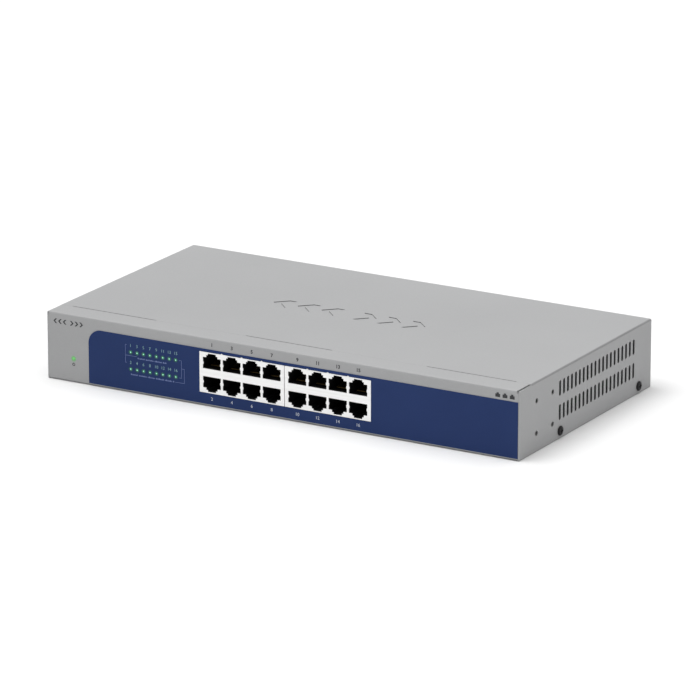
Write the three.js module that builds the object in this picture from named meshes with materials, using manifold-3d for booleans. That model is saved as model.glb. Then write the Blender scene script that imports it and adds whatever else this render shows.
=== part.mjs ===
// Desktop network switch: a folded steel chassis, a lift-off steel cover, sixteen sprung-contact
// jacks, and the boards, mains inlet and small parts that the case holds.
//
// Millimetres. Inside the case group, x runs across the front from its middle, y runs back from
// the front panel's face and z runs up from the underside of the case.

import * as THREE from 'three';
import { mergeVertices } from 'three/addons/utils/BufferGeometryUtils.js';
import Module from 'manifold-3d';

const wasm = await Module();
wasm.setup();

// ---------------------------------------------------------------- driving dimensions

const CASE = { width: 328, depth: 169, height: 43 };
const SHEET = 0.8; // steel thickness of chassis and cover
const BEND = 0.4; // inner bend radius
const FOOT = { height: 0.3, radius: 6, chamfer: 0.15, x: 140, inset: 20 }; // thin stick-on pads
const FRONT_PROUD = 0.3; // blue film and jack faces stand in front of the panel by this
const INLET_PROUD = 1.5; // the mains inlet's rim stands behind the rear panel by this

const PANEL_GAP = 0.1; // chassis sides to cover walls
const FLANGE = { depth: 15, sideGap: 1, slit: 0.8 }; // folded-back top edge of the front panel
const TONGUE = { xs: [-125.2, -1.3, 123.5], width: 60, length: 6, drop: 0.2 };
const REAR_FLANGE = 8;
const CORNER_RELIEF = 1; // keeps the chassis's upper rear corners clear of the cover's inner bend
const SIDE_TAB = { from: 30, to: 165, height: 9.4 };

const VENT = { count: 20, pitch: 5, first: 50.6, rows: [16.2, 31.2], width: 2.4, height: 9.6 };
const EAR_HOLE = { ys: [21.5, 41.5], zs: [11.2, 31.2], radius: 1.65 };
const COVER_SCREW = { ys: [50.9, 152.8], z: 4.6, shank: 1.5, head: 3, headHeight: 1.3, length: 5.5 };

const FILM = { left: -134.1, bottom: 1.2, top: 35.8, radius: 9 };
const LIGHTS = { first: -103.8, pitch: 4.6, count: 8, rows: [14.8, 25.5], hole: 0.95, pin: 0.8 };
const POWER_LIGHT = { x: -145.2, z: 14.9 };

const JACK = {
  centre: 4.8, // x of the gap between the two blocks
  gap: 0.4,
  width: 59.3,
  bottom: 8.3,
  top: 33.8,
  depth: 22,
  pitch: 13.97,
  skin: 0.3, // shield thickness
};
// half-widths and heights of one socket, measured from the block's mid-height
const SOCKET = {
  floor: 2.45,
  body: 9.6,
  step: 10.95,
  latch: 12.1,
  wide: 6,
  narrow: 3.7,
  tip: 2.2,
  depth: 16,
};
const CONTACT = {
  wires: 8,
  pitch: 1.02,
  wire: 0.45,
  length: 7.5,
  thickness: 0.35,
  bar: 0.6, // half-depth of the carrier bar
  y: 5.5, // pivot, behind the panel's face
  lift: 0.95, // pivot, from the socket's contact-side wall
  rest: 14, // degrees
};

const BOARD = { thickness: 1.6, top: JACK.bottom };
const MAIN_BOARD = {
  // an L: full width behind the panel, and back to the rear on the right
  outline: [[-152, 2.5], [150, 2.5], [150, 160], [-52, 160], [-52, 98], [-152, 98]],
  screws: [[-147, 12], [145, 12], [-147, 92], [145, 154]],
};
const POWER_BOARD = {
  outline: [[-150, 104], [-60, 104], [-60, 160], [-150, 160]],
  screws: [[-145, 109], [-65, 109]],
};
const SWITCH_CHIP = { x: [-7, 17], y: [43, 67], height: 1.8 };
const CHIP_SINK = { x: 5, y: [32, 78], width: 46, base: 3, height: 16, fins: 9, fin: 1.4 };
const TRANSFORMER = {
  core: { x: [-96, -68], y: [122, 134], height: 20 },
  winding: { x: [-92, -72], y: [118, 138], height: 17 },
};
const BULK_CAPACITOR = { x: -106, y: 126, radius: 8, height: 24 };
const POWER_SINK = { x: -112, y: [107, 116], width: 26, height: 22, plate: 1.5 };
const MAINS_CHOKE = { x: [-142, -124], y: [116, 132], height: 17 };
const INSULATOR = { x: -156, foot: 7, y: [102, 160], thickness: 0.4, top: 38 };
const POST = { radius: 3, bore: 1.6 };
const BOARD_SCREW = { shank: 1.4, head: 2.6, headHeight: 1.6, length: 4.5 };
const NUT = { radius: 3.15, thickness: 2.4, clearance: 0.1 };

const INLET = {
  x: -115,
  z: 21.5,
  rim: [31, 24.4],
  body: [27, 19.6],
  mouth: [24.4, 16.4],
  corner: 4, // slant of the mouth's upper corners
  depth: 20.4,
};
const INLET_SOCKET = { depth: 16, recess: 5.5, pins: [[-7, -2], [7, -2], [0, 2]] };
const INLET_PIN = { width: 2, height: 4, tab: 5, clearance: 0.05 };
const LEAD_RADIUS = 1.1;
const HARNESS_RADIUS = 1.8;
const LOCK_SLOT = { x: 60, z: 20, width: 7, height: 3 };

const EMBLEM = { y: 85, count: 3, first: 13, pitch: 17, length: 13, width: 15, stroke: 5.5, depth: 0.5 };

// the case is set so that the whole object is centred on the origin
const FRONT = (FRONT_PROUD - CASE.depth - INLET_PROUD) / 2;

// ---------------------------------------------------------------- shape tools

const X = new THREE.Vector3(1, 0, 0);
const Y = new THREE.Vector3(0, 1, 0);
const Z = new THREE.Vector3(0, 0, 1);
const FACING_FRONT = new THREE.Matrix4().makeBasis(X, Z, Y.clone().negate());
const FACING_SIDE = new THREE.Matrix4().makeBasis(Y, Z, X);

/** A shape drawn in (x, z), extruded from y0 back to y1. */
function deep(shape, y0, y1) {
  const body = new THREE.ExtrudeGeometry(shape, { depth: y1 - y0, bevelEnabled: false });
  return body.applyMatrix4(FACING_FRONT).translate(0, y1, 0);
}

/** A shape drawn in (y, z), extruded from x0 across to x1. */
function across(shape, x0, x1) {
  const body = new THREE.ExtrudeGeometry(shape, { depth: x1 - x0, bevelEnabled: false });
  return body.applyMatrix4(FACING_SIDE).translate(x0, 0, 0);
}

/** A shape drawn in (x, y), extruded from z0 up to z1. */
function upright(shape, z0, z1) {
  return new THREE.ExtrudeGeometry(shape, { depth: z1 - z0, bevelEnabled: false }).translate(0, 0, z0);
}

/** A span between two places, given in either order. */
function span(a, b) {
  return [Math.min(a, b), Math.max(a, b)];
}

function block([x0, x1], [y0, y1], [z0, z1]) {
  return upright(rectangle(x0, x1, y0, y1), z0, z1);
}

function rectangle(x0, x1, y0, y1) {
  return outline([[x0, y0], [x1, y0], [x1, y1], [x0, y1]]);
}

function outline(points) {
  return new THREE.Shape(points.map(([x, y]) => new THREE.Vector2(x, y)));
}

function polygon(x, y, radius, sides, turn = 0) {
  const corner = (i) => turn + (i * 2 * Math.PI) / sides;
  const points = Array.from({ length: sides }, (_, i) => [
    x + radius * Math.cos(corner(i)),
    y + radius * Math.sin(corner(i)),
  ]);
  return outline(points);
}

/** An upright slot with half-round ends. */
function slot(x, y, width, height) {
  const r = width / 2;
  const reach = height / 2 - r;
  const points = [];
  for (const [cy, start] of [[y + reach, 0], [y - reach, Math.PI]]) {
    for (let i = 0; i <= 4; i += 1) {
      const angle = start + (i * Math.PI) / 4;
      points.push([x + r * Math.cos(angle), cy + r * Math.sin(angle)]);
    }
  }
  return outline(points);
}

/** The section of a folded sheet that follows a centre line, with rounded bends. */
function foldedSheet(path) {
  const corners = path.map(([x, y]) => new THREE.Vector2(x, y));
  const runs = corners.slice(1).map((end, i) => end.clone().sub(corners[i]).normalize());
  const leftOf = (run) => new THREE.Vector2(-run.y, run.x);
  const face = (side) => {
    const points = [];
    corners.forEach((corner, i) => {
      const before = runs[i - 1] ?? runs[i];
      const after = runs[i] ?? runs[i - 1];
      const miter = leftOf(before).add(leftOf(after));
      miter.multiplyScalar((side * SHEET) / miter.lengthSq());
      const edge = corner.clone().add(miter);
      const turn = Math.sign(before.cross(after));
      if (turn === 0) {
        points.push(edge);
        return;
      }
      const radius = turn === side ? BEND : BEND + SHEET;
      const tangent = edge.clone().addScaledVector(before, -radius);
      const centre = tangent.addScaledVector(leftOf(before), turn * radius);
      const start = leftOf(before).multiplyScalar(-turn * radius);
      for (let k = 0; k <= 3; k += 1) {
        const angle = (turn * k * Math.PI) / 6;
        points.push(centre.clone().add(start.clone().rotateAround(new THREE.Vector2(), angle)));
      }
    });
    return points;
  };
  return new THREE.Shape([...face(-1), ...face(1).reverse()]);
}

function toSolid(geometry) {
  const plain = geometry.clone();
  plain.deleteAttribute('normal');
  plain.deleteAttribute('uv');
  const merged = mergeVertices(plain, 1e-5);
  return new wasm.Manifold(
    new wasm.Mesh({
      numProp: 3,
      vertProperties: new Float32Array(merged.attributes.position.array),
      triVerts: new Uint32Array(merged.index.array),
    }),
  );
}

function toGeometry(solid) {
  const mesh = solid.getMesh();
  const geometry = new THREE.BufferGeometry();
  geometry.setAttribute('position', new THREE.BufferAttribute(mesh.vertProperties, 3));
  geometry.setIndex(new THREE.BufferAttribute(mesh.triVerts, 1));
  geometry.computeVertexNormals();
  return geometry;
}

/** One geometry from pieces to join and pieces to cut away. */
function shaped(joined, removed = []) {
  const [first, ...rest] = joined.map(toSolid);
  const whole = rest.reduce((sum, piece) => sum.add(piece), first);
  return toGeometry(removed.map(toSolid).reduce((sum, piece) => sum.subtract(piece), whole));
}

function pinAlongY(x, z, radius, y0, y1, sides = 8) {
  return deep(polygon(x, z, radius, sides), y0, y1);
}

function tube(points, radius) {
  const curve = new THREE.CatmullRomCurve3(points.map(([x, y, z]) => new THREE.Vector3(x, y, z)));
  const section = polygon(0, 0, radius, 6);
  return new THREE.ExtrudeGeometry(section, { steps: 16, extrudePath: curve, bevelEnabled: false });
}

function lathe(profile, sides) {
  return new THREE.LatheGeometry(profile.map(([r, h]) => new THREE.Vector2(r, h)), sides);
}

// ---------------------------------------------------------------- materials

const material = (color, roughness, metalness) =>
  new THREE.MeshStandardMaterial({ color, roughness, metalness });

const MATERIALS = {
  greyPaint: material(0xb4b5b6, 0.55, 0.1),
  bluePrint: material(0x26365e, 0.45, 0),
  blackPlastic: material(0x0b0b0c, 0.5, 0),
  brightMetal: material(0xe4e4e2, 0.3, 0.9),
  blackScrew: material(0x202022, 0.4, 0.6),
  zincSteel: material(0xb8b8b0, 0.4, 0.8),
  rubber: material(0x1c1c1c, 0.9, 0),
  greenBoard: material(0x1f5c35, 0.5, 0),
  gold: material(0xc9a24a, 0.3, 0.9),
  lightPipe: material(0x58d488, 0.2, 0),
  chip: material(0x17181a, 0.6, 0),
  aluminium: material(0xa9abad, 0.4, 0.8),
  insulator: material(0x111214, 0.5, 0),
  windingTape: material(0xc8a93c, 0.6, 0),
  capacitorSleeve: material(0x1d2a44, 0.4, 0),
  ferrite: material(0x35373a, 0.7, 0),
  liveLead: material(0x6b3c22, 0.5, 0),
  neutralLead: material(0x2b55a8, 0.5, 0),
  earthLead: material(0x5d9a2f, 0.5, 0),
  dcLeads: material(0xa02222, 0.5, 0),
};

// ---------------------------------------------------------------- assembly

const networkSwitch = new THREE.Group();
const inCase = new THREE.Group();
inCase.position.set(0, FRONT, FOOT.height);
networkSwitch.add(inCase);

function place(name, geometry, look, position = [0, 0, 0]) {
  const mesh = new THREE.Mesh(geometry, look);
  mesh.name = name;
  mesh.position.set(...position);
  inCase.add(mesh);
  return mesh;
}

// ---------------------------------------------------------------- steel case

const INNER_HALF = CASE.width / 2 - SHEET;
const CHASSIS_HALF = INNER_HALF - PANEL_GAP;
const COVER_UNDERSIDE = CASE.height - SHEET;
const TONGUE_TOP = COVER_UNDERSIDE - TONGUE.drop;

function jackWindow(margin) {
  const half = JACK.width + JACK.gap / 2 + margin;
  return [JACK.centre - half, JACK.centre + half, JACK.bottom - margin, JACK.top + margin];
}

function statusLightPlaces() {
  return LIGHTS.rows.flatMap((z) =>
    Array.from({ length: LIGHTS.count }, (_, i) => [LIGHTS.first + i * LIGHTS.pitch, z]),
  );
}

function chassisBase() {
  const middle = SHEET / 2;
  const section = foldedSheet([
    [FLANGE.depth, CASE.height - middle],
    [middle, CASE.height - middle],
    [middle, middle],
    [CASE.depth - middle, middle],
    [CASE.depth - middle, TONGUE_TOP - middle],
    [CASE.depth - REAR_FLANGE, TONGUE_TOP - middle],
  ]);
  const joined = [across(section, -CHASSIS_HALF, CHASSIS_HALF)];
  const removed = [];
  for (const x of TONGUE.xs) {
    const reach = [x - TONGUE.width / 2, x + TONGUE.width / 2];
    joined.push(block(reach, [FLANGE.depth - SHEET, FLANGE.depth], [TONGUE_TOP - SHEET, CASE.height]));
    const tip = FLANGE.depth + TONGUE.length;
    joined.push(block(reach, [FLANGE.depth - SHEET, tip], [TONGUE_TOP - SHEET, TONGUE_TOP]));
  }
  for (const side of [-1, 1]) {
    const tab = span(side * (CHASSIS_HALF - SHEET), side * CHASSIS_HALF);
    const slots = COVER_SCREW.ys.map((y) => {
      const clear = COVER_SCREW.shank + 0.3;
      return block(tab, [y - clear, y + clear], [COVER_SCREW.z - clear, SIDE_TAB.height + 1]);
    });
    joined.push(shaped([block(tab, [SIDE_TAB.from, SIDE_TAB.to], [middle, SIDE_TAB.height])], slots));
    const flangeSide = span(side * (INNER_HALF - FLANGE.sideGap), side * (INNER_HALF + 1));
    removed.push(block(flangeSide, [-1, FLANGE.depth + 1], [CASE.height - 2, CASE.height + 1]));
    const rearCorner = span(side * (INNER_HALF - CORNER_RELIEF), side * (INNER_HALF + 1));
    const rearSpan = [SIDE_TAB.to - 10, CASE.depth + 1];
    removed.push(block(rearCorner, rearSpan, [TONGUE_TOP - CORNER_RELIEF, CASE.height]));
  }
  for (const [x, y] of [...MAIN_BOARD.screws, ...POWER_BOARD.screws]) {
    joined.push(upright(polygon(x, y, POST.radius, 10), middle, BOARD.top - BOARD.thickness));
    removed.push(upright(polygon(x, y, POST.bore, 8), 2 * SHEET, BOARD.top));
  }
  const [left, right, bottom, top] = jackWindow(0.15);
  removed.push(deep(rectangle(left, right, bottom, top), -1, SHEET + 1));
  for (const [x, z] of [...statusLightPlaces(), [POWER_LIGHT.x, POWER_LIGHT.z]]) {
    removed.push(pinAlongY(x, z, LIGHTS.hole, -1, SHEET + 1));
  }
  const [wide, high] = INLET.body;
  const cutout = rectangle(
    INLET.x - wide / 2 - 0.2, INLET.x + wide / 2 + 0.2, INLET.z - high / 2 - 0.2, INLET.z + high / 2 + 0.2);
  removed.push(deep(cutout, CASE.depth - SHEET - 1, CASE.depth + 1));
  const lock = rectangle(
    LOCK_SLOT.x - LOCK_SLOT.width / 2, LOCK_SLOT.x + LOCK_SLOT.width / 2,
    LOCK_SLOT.z - LOCK_SLOT.height / 2, LOCK_SLOT.z + LOCK_SLOT.height / 2);
  removed.push(deep(lock, CASE.depth - SHEET - 1, CASE.depth + 1));
  return shaped(joined, removed);
}

/** A chevron that points along x, the usual sign for traffic in one direction. */
function chevron(x, y, towards) {
  const { length, width, stroke } = EMBLEM;
  const half = length / 2;
  const flight = length - stroke;
  const points = [
    [half - flight, width / 2],
    [-half, width / 2],
    [half - stroke, 0],
    [-half, -width / 2],
    [half - flight, -width / 2],
    [half, 0],
  ];
  return outline(points.map(([dx, dy]) => [x + towards * dx, y + dy]));
}

function topCover() {
  const middle = SHEET / 2;
  const wall = CASE.width / 2 - middle;
  const roof = CASE.height - middle;
  const section = foldedSheet([[-wall, 0], [-wall, roof], [wall, roof], [wall, 0]]);
  const joined = [deep(section, FLANGE.depth + PANEL_GAP, CASE.depth)];
  const removed = [];
  for (const side of [-1, 1]) {
    const wallSpan = span(side * INNER_HALF, (side * CASE.width) / 2);
    joined.push(block(wallSpan, [0, FLANGE.depth + 1], [0, CASE.height]));
  }
  for (const x of TONGUE.xs) {
    const reach = [x - TONGUE.width / 2, x + TONGUE.width / 2];
    const slit = [FLANGE.depth, FLANGE.depth + FLANGE.slit];
    removed.push(block(reach, slit, [COVER_UNDERSIDE - 1, CASE.height + 1]));
  }
  const through = CASE.width / 2 + 1;
  for (let i = 0; i < VENT.count; i += 1) {
    for (const z of VENT.rows) {
      removed.push(across(slot(VENT.first + i * VENT.pitch, z, VENT.width, VENT.height), -through, through));
    }
  }
  for (const y of EAR_HOLE.ys) {
    for (const z of EAR_HOLE.zs) {
      removed.push(across(polygon(y, z, EAR_HOLE.radius, 10), -through, through));
    }
  }
  for (const y of COVER_SCREW.ys) {
    removed.push(across(polygon(y, COVER_SCREW.z, COVER_SCREW.shank + 0.25, 10), -through, through));
  }
  for (let i = 0; i < EMBLEM.count; i += 1) {
    for (const side of [-1, 1]) {
      const mark = chevron(side * (EMBLEM.first + i * EMBLEM.pitch), EMBLEM.y, side);
      removed.push(upright(mark, CASE.height - EMBLEM.depth, CASE.height + 1));
    }
  }
  return shaped(joined, removed);
}

function screwGeometry({ shank, head, headHeight, length }) {
  const chamfer = headHeight * 0.4;
  return lathe([
    [0, -length],
    [shank, -length],
    [shank, 0],
    [head, 0],
    [head, headHeight - chamfer],
    [head - chamfer, headHeight],
    [0, headHeight],
  ], 12);
}

function buildCase() {
  place('chassis_base', chassisBase(), MATERIALS.greyPaint);
  place('top_cover', topCover(), MATERIALS.greyPaint);
  const sides = { left: -1, right: 1 };
  const ends = { front: 0, rear: 1 };
  for (const [sideName, side] of Object.entries(sides)) {
    for (const [endName, end] of Object.entries(ends)) {
      const y = COVER_SCREW.ys[end];
      const screw = place(`cover_screw_${sideName}_${endName}`, screwGeometry(COVER_SCREW),
        MATERIALS.blackScrew, [side * (CASE.width / 2), y, COVER_SCREW.z]);
      screw.rotation.z = -side * (Math.PI / 2);
      const nut = polygon(0, 0, NUT.radius, 6);
      nut.holes.push(polygon(0, 0, COVER_SCREW.shank + 0.2, 8));
      const inner = CHASSIS_HALF - SHEET - NUT.clearance;
      const nutSpan = span(side * inner, side * (inner - NUT.thickness));
      place(`captive_nut_${sideName}_${endName}`, across(nut, ...nutSpan), MATERIALS.zincSteel,
        [0, y, COVER_SCREW.z]);
      const foot = lathe([
        [0, -FOOT.height],
        [FOOT.radius - FOOT.chamfer, -FOOT.height],
        [FOOT.radius, FOOT.chamfer - FOOT.height],
        [FOOT.radius, 0],
        [0, 0],
      ], 16);
      place(`rubber_foot_${sideName}_${endName}`, foot.rotateX(Math.PI / 2), MATERIALS.rubber,
        [side * FOOT.x, end ? CASE.depth - FOOT.inset : FOOT.inset, 0]);
    }
  }
}

// ---------------------------------------------------------------- front panel print and lights

function frontFilm() {
  const film = new THREE.Shape();
  const right = CHASSIS_HALF;
  film.moveTo(FILM.left, FILM.bottom);
  film.lineTo(right, FILM.bottom);
  film.lineTo(right, FILM.top);
  for (let i = 0; i <= 4; i += 1) {
    const angle = Math.PI / 2 + (i * Math.PI) / 8;
    film.lineTo(
      FILM.left + FILM.radius * (1 + Math.cos(angle)), FILM.top - FILM.radius * (1 - Math.sin(angle)));
  }
  film.holes.push(rectangle(...jackWindow(0.15)));
  for (const [x, z] of statusLightPlaces()) {
    film.holes.push(polygon(x, z, LIGHTS.hole, 8));
  }
  return deep(film, -FRONT_PROUD, 0);
}

function lightPipes(places, [x0, x1], top) {
  const joined = [block([x0, x1], [4, 6.5], [BOARD.top, top])];
  for (const [x, z] of places) {
    joined.push(pinAlongY(x, z, LIGHTS.pin, -FRONT_PROUD, 4.5));
  }
  return shaped(joined);
}

function buildFront() {
  place('front_film', frontFilm(), MATERIALS.bluePrint);
  const last = LIGHTS.first + (LIGHTS.count - 1) * LIGHTS.pitch;
  place('status_light_pipes', lightPipes(statusLightPlaces(), [LIGHTS.first - 2, last + 2], 27.5),
    MATERIALS.lightPipe);
  place('power_light_pipe',
    lightPipes([[POWER_LIGHT.x, POWER_LIGHT.z]], [POWER_LIGHT.x - 2, POWER_LIGHT.x + 2], 17),
    MATERIALS.lightPipe);
}

// ---------------------------------------------------------------- jacks

const JACK_MIDDLE = (JACK.bottom + JACK.top) / 2;
const blockCentre = (side) => JACK.centre + (side * (JACK.gap + JACK.width)) / 2;

/** Centres of a block's four columns. */
function columns(side) {
  return [-1.5, -0.5, 0.5, 1.5].map((step) => blockCentre(side) + step * JACK.pitch);
}

/** A socket's mouth: the plug's body with the latch's two steps. row is 1 for latch up, -1 for down. */
function socketMouth(x, row, grow = 0) {
  const half = [
    [SOCKET.wide + grow, SOCKET.floor],
    [SOCKET.wide + grow, SOCKET.body],
    [SOCKET.narrow, SOCKET.body],
    [SOCKET.narrow, SOCKET.step],
    [SOCKET.tip, SOCKET.latch],
  ];
  const right = half.map(([dx, dz]) => [x + dx, JACK_MIDDLE + row * dz]);
  const left = half.map(([dx, dz]) => [x - dx, JACK_MIDDLE + row * dz]).reverse();
  return outline([...right, ...left]);
}

function socketCuts(side, y0, y1, grow) {
  return columns(side).flatMap((x) => [1, -1].map((row) => deep(socketMouth(x, row, grow), y0, y1)));
}

function jackHousing(side) {
  const half = JACK.width / 2 - JACK.skin - 0.05;
  const x = blockCentre(side);
  const body = block([x - half, x + half], [0.05, JACK.depth], [JACK.bottom, JACK.top - JACK.skin - 0.05]);
  return shaped([body], socketCuts(side, -1, SOCKET.depth, 0));
}

function jackShield(side) {
  const half = JACK.width / 2;
  const inner = half - JACK.skin;
  const x = blockCentre(side);
  const outer = block([x - half, x + half], [-FRONT_PROUD, JACK.depth + 0.4], [JACK.bottom, JACK.top]);
  const hollow = block([x - inner, x + inner], [0, JACK.depth + 1], [JACK.bottom - 1, JACK.top - JACK.skin]);
  return shaped([outer], [hollow, ...socketCuts(side, -1, 1, 0.25)]);
}

/** Eight spring wires on one carrier bar, pivoting about the bar's middle at its front end. */
function contactComb() {
  const half = ((CONTACT.wires - 1) * CONTACT.pitch) / 2;
  const edge = half + CONTACT.wire;
  const points = [[edge, -CONTACT.bar], [edge, CONTACT.bar]];
  for (let i = CONTACT.wires - 1; i >= 0; i -= 1) {
    const x = i * CONTACT.pitch - half;
    points.push([x + CONTACT.wire / 2, CONTACT.bar], [x + CONTACT.wire / 2, CONTACT.length]);
    points.push([x - CONTACT.wire / 2, CONTACT.length], [x - CONTACT.wire / 2, CONTACT.bar]);
  }
  points.push([-edge, CONTACT.bar], [-edge, -CONTACT.bar]);
  return upright(outline(points), -CONTACT.thickness / 2, CONTACT.thickness / 2);
}

function buildJacks() {
  for (const [name, side] of [['left', -1], ['right', 1]]) {
    place(`jack_housing_${name}`, jackHousing(side), MATERIALS.blackPlastic);
    place(`jack_shield_${name}`, jackShield(side), MATERIALS.brightMetal);
    columns(side).forEach((x, column) => {
      for (const row of [1, -1]) {
        const port = (side > 0 ? 8 : 0) + column * 2 + (row > 0 ? 1 : 2);
        const comb = place(`port_${String(port).padStart(2, '0')}_contacts`, contactComb(), MATERIALS.gold,
          [x, CONTACT.y, JACK_MIDDLE + row * (SOCKET.floor + CONTACT.lift)]);
        comb.rotation.x = row * THREE.MathUtils.degToRad(CONTACT.rest);
      }
    });
  }
}

// ---------------------------------------------------------------- boards and their parts

function board({ outline: corners, screws }) {
  const plan = outline(corners);
  for (const [x, y] of screws) {
    plan.holes.push(polygon(x, y, POST.bore, 8));
  }
  return upright(plan, BOARD.top - BOARD.thickness, BOARD.top);
}

/** A plain block standing on the boards' upper face. */
function onBoard({ x, y, height }) {
  return block(x, y, [BOARD.top, BOARD.top + height]);
}

function finnedSink({ width, base, height, fins, fin }) {
  const pitch = (width - fin) / (fins - 1);
  const points = [[-width / 2, 0], [width / 2, 0]];
  for (let i = fins - 1; i >= 0; i -= 1) {
    const x = i * pitch - width / 2;
    points.push([x + fin, height], [x, height]);
    if (i > 0) {
      points.push([x, base], [x - pitch + fin, base]);
    }
  }
  return outline(points);
}

function buildBoards() {
  place('main_board', board(MAIN_BOARD), MATERIALS.greenBoard);
  place('power_board', board(POWER_BOARD), MATERIALS.greenBoard);
  const names = ['left_front', 'right_front', 'left_rear', 'right_rear'];
  MAIN_BOARD.screws.forEach(([x, y], i) => {
    const screw = place(`main_board_screw_${names[i]}`, screwGeometry(BOARD_SCREW), MATERIALS.zincSteel,
      [x, y, BOARD.top]);
    screw.rotation.x = Math.PI / 2;
  });
  POWER_BOARD.screws.forEach(([x, y], i) => {
    const screw = place(`power_board_screw_${['left', 'right'][i]}`, screwGeometry(BOARD_SCREW),
      MATERIALS.zincSteel, [x, y, BOARD.top]);
    screw.rotation.x = Math.PI / 2;
  });
  place('switch_chip', onBoard(SWITCH_CHIP), MATERIALS.chip);
  const sink = deep(finnedSink(CHIP_SINK), ...CHIP_SINK.y).translate(0, 0, BOARD.top + SWITCH_CHIP.height);
  place('chip_heat_sink', sink, MATERIALS.aluminium, [CHIP_SINK.x, 0, 0]);
}

function buildPowerSupply() {
  const transformer = shaped([onBoard(TRANSFORMER.core), onBoard(TRANSFORMER.winding)]);
  place('power_transformer', transformer, MATERIALS.windingTape);
  const can = polygon(BULK_CAPACITOR.x, BULK_CAPACITOR.y, BULK_CAPACITOR.radius, 16);
  place('bulk_capacitor', upright(can, BOARD.top, BOARD.top + BULK_CAPACITOR.height),
    MATERIALS.capacitorSleeve);
  const { width, height, plate } = POWER_SINK;
  const bracket = outline([
    [0, 0],
    [width, 0],
    [width, height],
    [width - plate, height],
    [width - plate, plate],
    [0, plate],
  ]);
  place('power_heat_sink', deep(bracket, ...POWER_SINK.y).translate(0, 0, BOARD.top),
    MATERIALS.aluminium, [POWER_SINK.x, 0, 0]);
  place('mains_choke', onBoard(MAINS_CHOKE), MATERIALS.ferrite);
  const { x, foot, y, thickness, top: edge } = INSULATOR;
  const fold = outline([
    [x, SHEET],
    [x + foot, SHEET],
    [x + foot, SHEET + thickness],
    [x + thickness, SHEET + thickness],
    [x + thickness, edge],
    [x, edge],
  ]);
  place('insulator_sheet', deep(fold, ...y), MATERIALS.insulator);
}

// ---------------------------------------------------------------- mains inlet and leads

function inletMouth() {
  const [width, height] = INLET.mouth;
  const half = width / 2;
  const tall = height / 2;
  const chamfer = INLET.corner;
  return outline([
    [INLET.x - half, INLET.z - tall],
    [INLET.x + half, INLET.z - tall],
    [INLET.x + half, INLET.z + tall - chamfer],
    [INLET.x + half - chamfer, INLET.z + tall],
    [INLET.x - half + chamfer, INLET.z + tall],
    [INLET.x - half, INLET.z + tall - chamfer],
  ]);
}

function inletBody() {
  const back = CASE.depth + INLET_PROUD;
  const [rimWide, rimHigh] = INLET.rim;
  const rim = rectangle(
    INLET.x - rimWide / 2, INLET.x + rimWide / 2, INLET.z - rimHigh / 2, INLET.z + rimHigh / 2);
  const [wide, high] = INLET.body;
  const body = rectangle(INLET.x - wide / 2, INLET.x + wide / 2, INLET.z - high / 2, INLET.z + high / 2);
  const joined = [deep(rim, CASE.depth, back), deep(body, back - INLET.depth, back)];
  const removed = [deep(inletMouth(), back - INLET_SOCKET.depth, back + 1)];
  const halfWide = INLET_PIN.width / 2 + INLET_PIN.clearance;
  const halfHigh = INLET_PIN.height / 2 + INLET_PIN.clearance;
  for (const [dx, dz] of INLET_SOCKET.pins) {
    const x = INLET.x + dx;
    const z = INLET.z + dz;
    const hole = rectangle(x - halfWide, x + halfWide, z - halfHigh, z + halfHigh);
    removed.push(deep(hole, back - INLET.depth - 1, back));
  }
  return shaped(joined, removed);
}

function buildInlet() {
  const back = CASE.depth + INLET_PROUD;
  const tabEnd = back - INLET.depth - INLET_PIN.tab;
  place('mains_inlet', inletBody(), MATERIALS.blackPlastic);
  const names = ['line', 'neutral', 'earth'];
  INLET_SOCKET.pins.forEach(([dx, dz], i) => {
    const { width, height } = INLET_PIN;
    const pin = block(
      [-width / 2, width / 2], [tabEnd, back - INLET_SOCKET.recess], [-height / 2, height / 2]);
    place(`inlet_pin_${names[i]}`, pin, MATERIALS.brightMetal, [INLET.x + dx, 0, INLET.z + dz]);
  });
  const low = BOARD.top + 0.4;
  const leadFrom = tabEnd - 0.4;
  const [line, neutral, earth] = INLET_SOCKET.pins.map(([dx, dz]) => [INLET.x + dx, INLET.z + dz]);
  const toBoard = ([x, z]) => [
    [x, leadFrom, z],
    [x, leadFrom - 4, z],
    [x, leadFrom - 6, z - 5],
    [x, leadFrom - 6, low],
  ];
  place('line_lead', tube(toBoard(line), LEAD_RADIUS), MATERIALS.liveLead);
  place('neutral_lead', tube(toBoard(neutral), LEAD_RADIUS), MATERIALS.neutralLead);
  place('earth_lead', tube([
    [earth[0], leadFrom, earth[1]],
    [earth[0], leadFrom - 2.5, earth[1] + 1],
    [earth[0] + 12, leadFrom - 4, 30],
    [earth[0] + 46, leadFrom, 28],
    [earth[0] + 58, leadFrom, 16],
    [earth[0] + 59, leadFrom, SHEET + 0.4],
  ], LEAD_RADIUS), MATERIALS.earthLead);
  place('dc_harness', tube([
    [-78, 112, low],
    [-78, 110, 16],
    [-78, 101, 20],
    [-78, 92, 16],
    [-78, 90, low],
  ], HARNESS_RADIUS), MATERIALS.dcLeads);
}

buildCase();
buildFront();
buildJacks();
buildBoards();
buildPowerSupply();
buildInlet();

export default networkSwitch;
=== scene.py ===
"""Looks of the desktop network switch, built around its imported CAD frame.

Sizes are in case millimetres: x across the front from its middle, y back from the front panel's
face, z up from the underside of the case. case_point turns them into the frame's metres.
"""

from math import cos, pi, radians, sin

import bmesh
import bpy
from mathutils import Matrix, Vector


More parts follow.
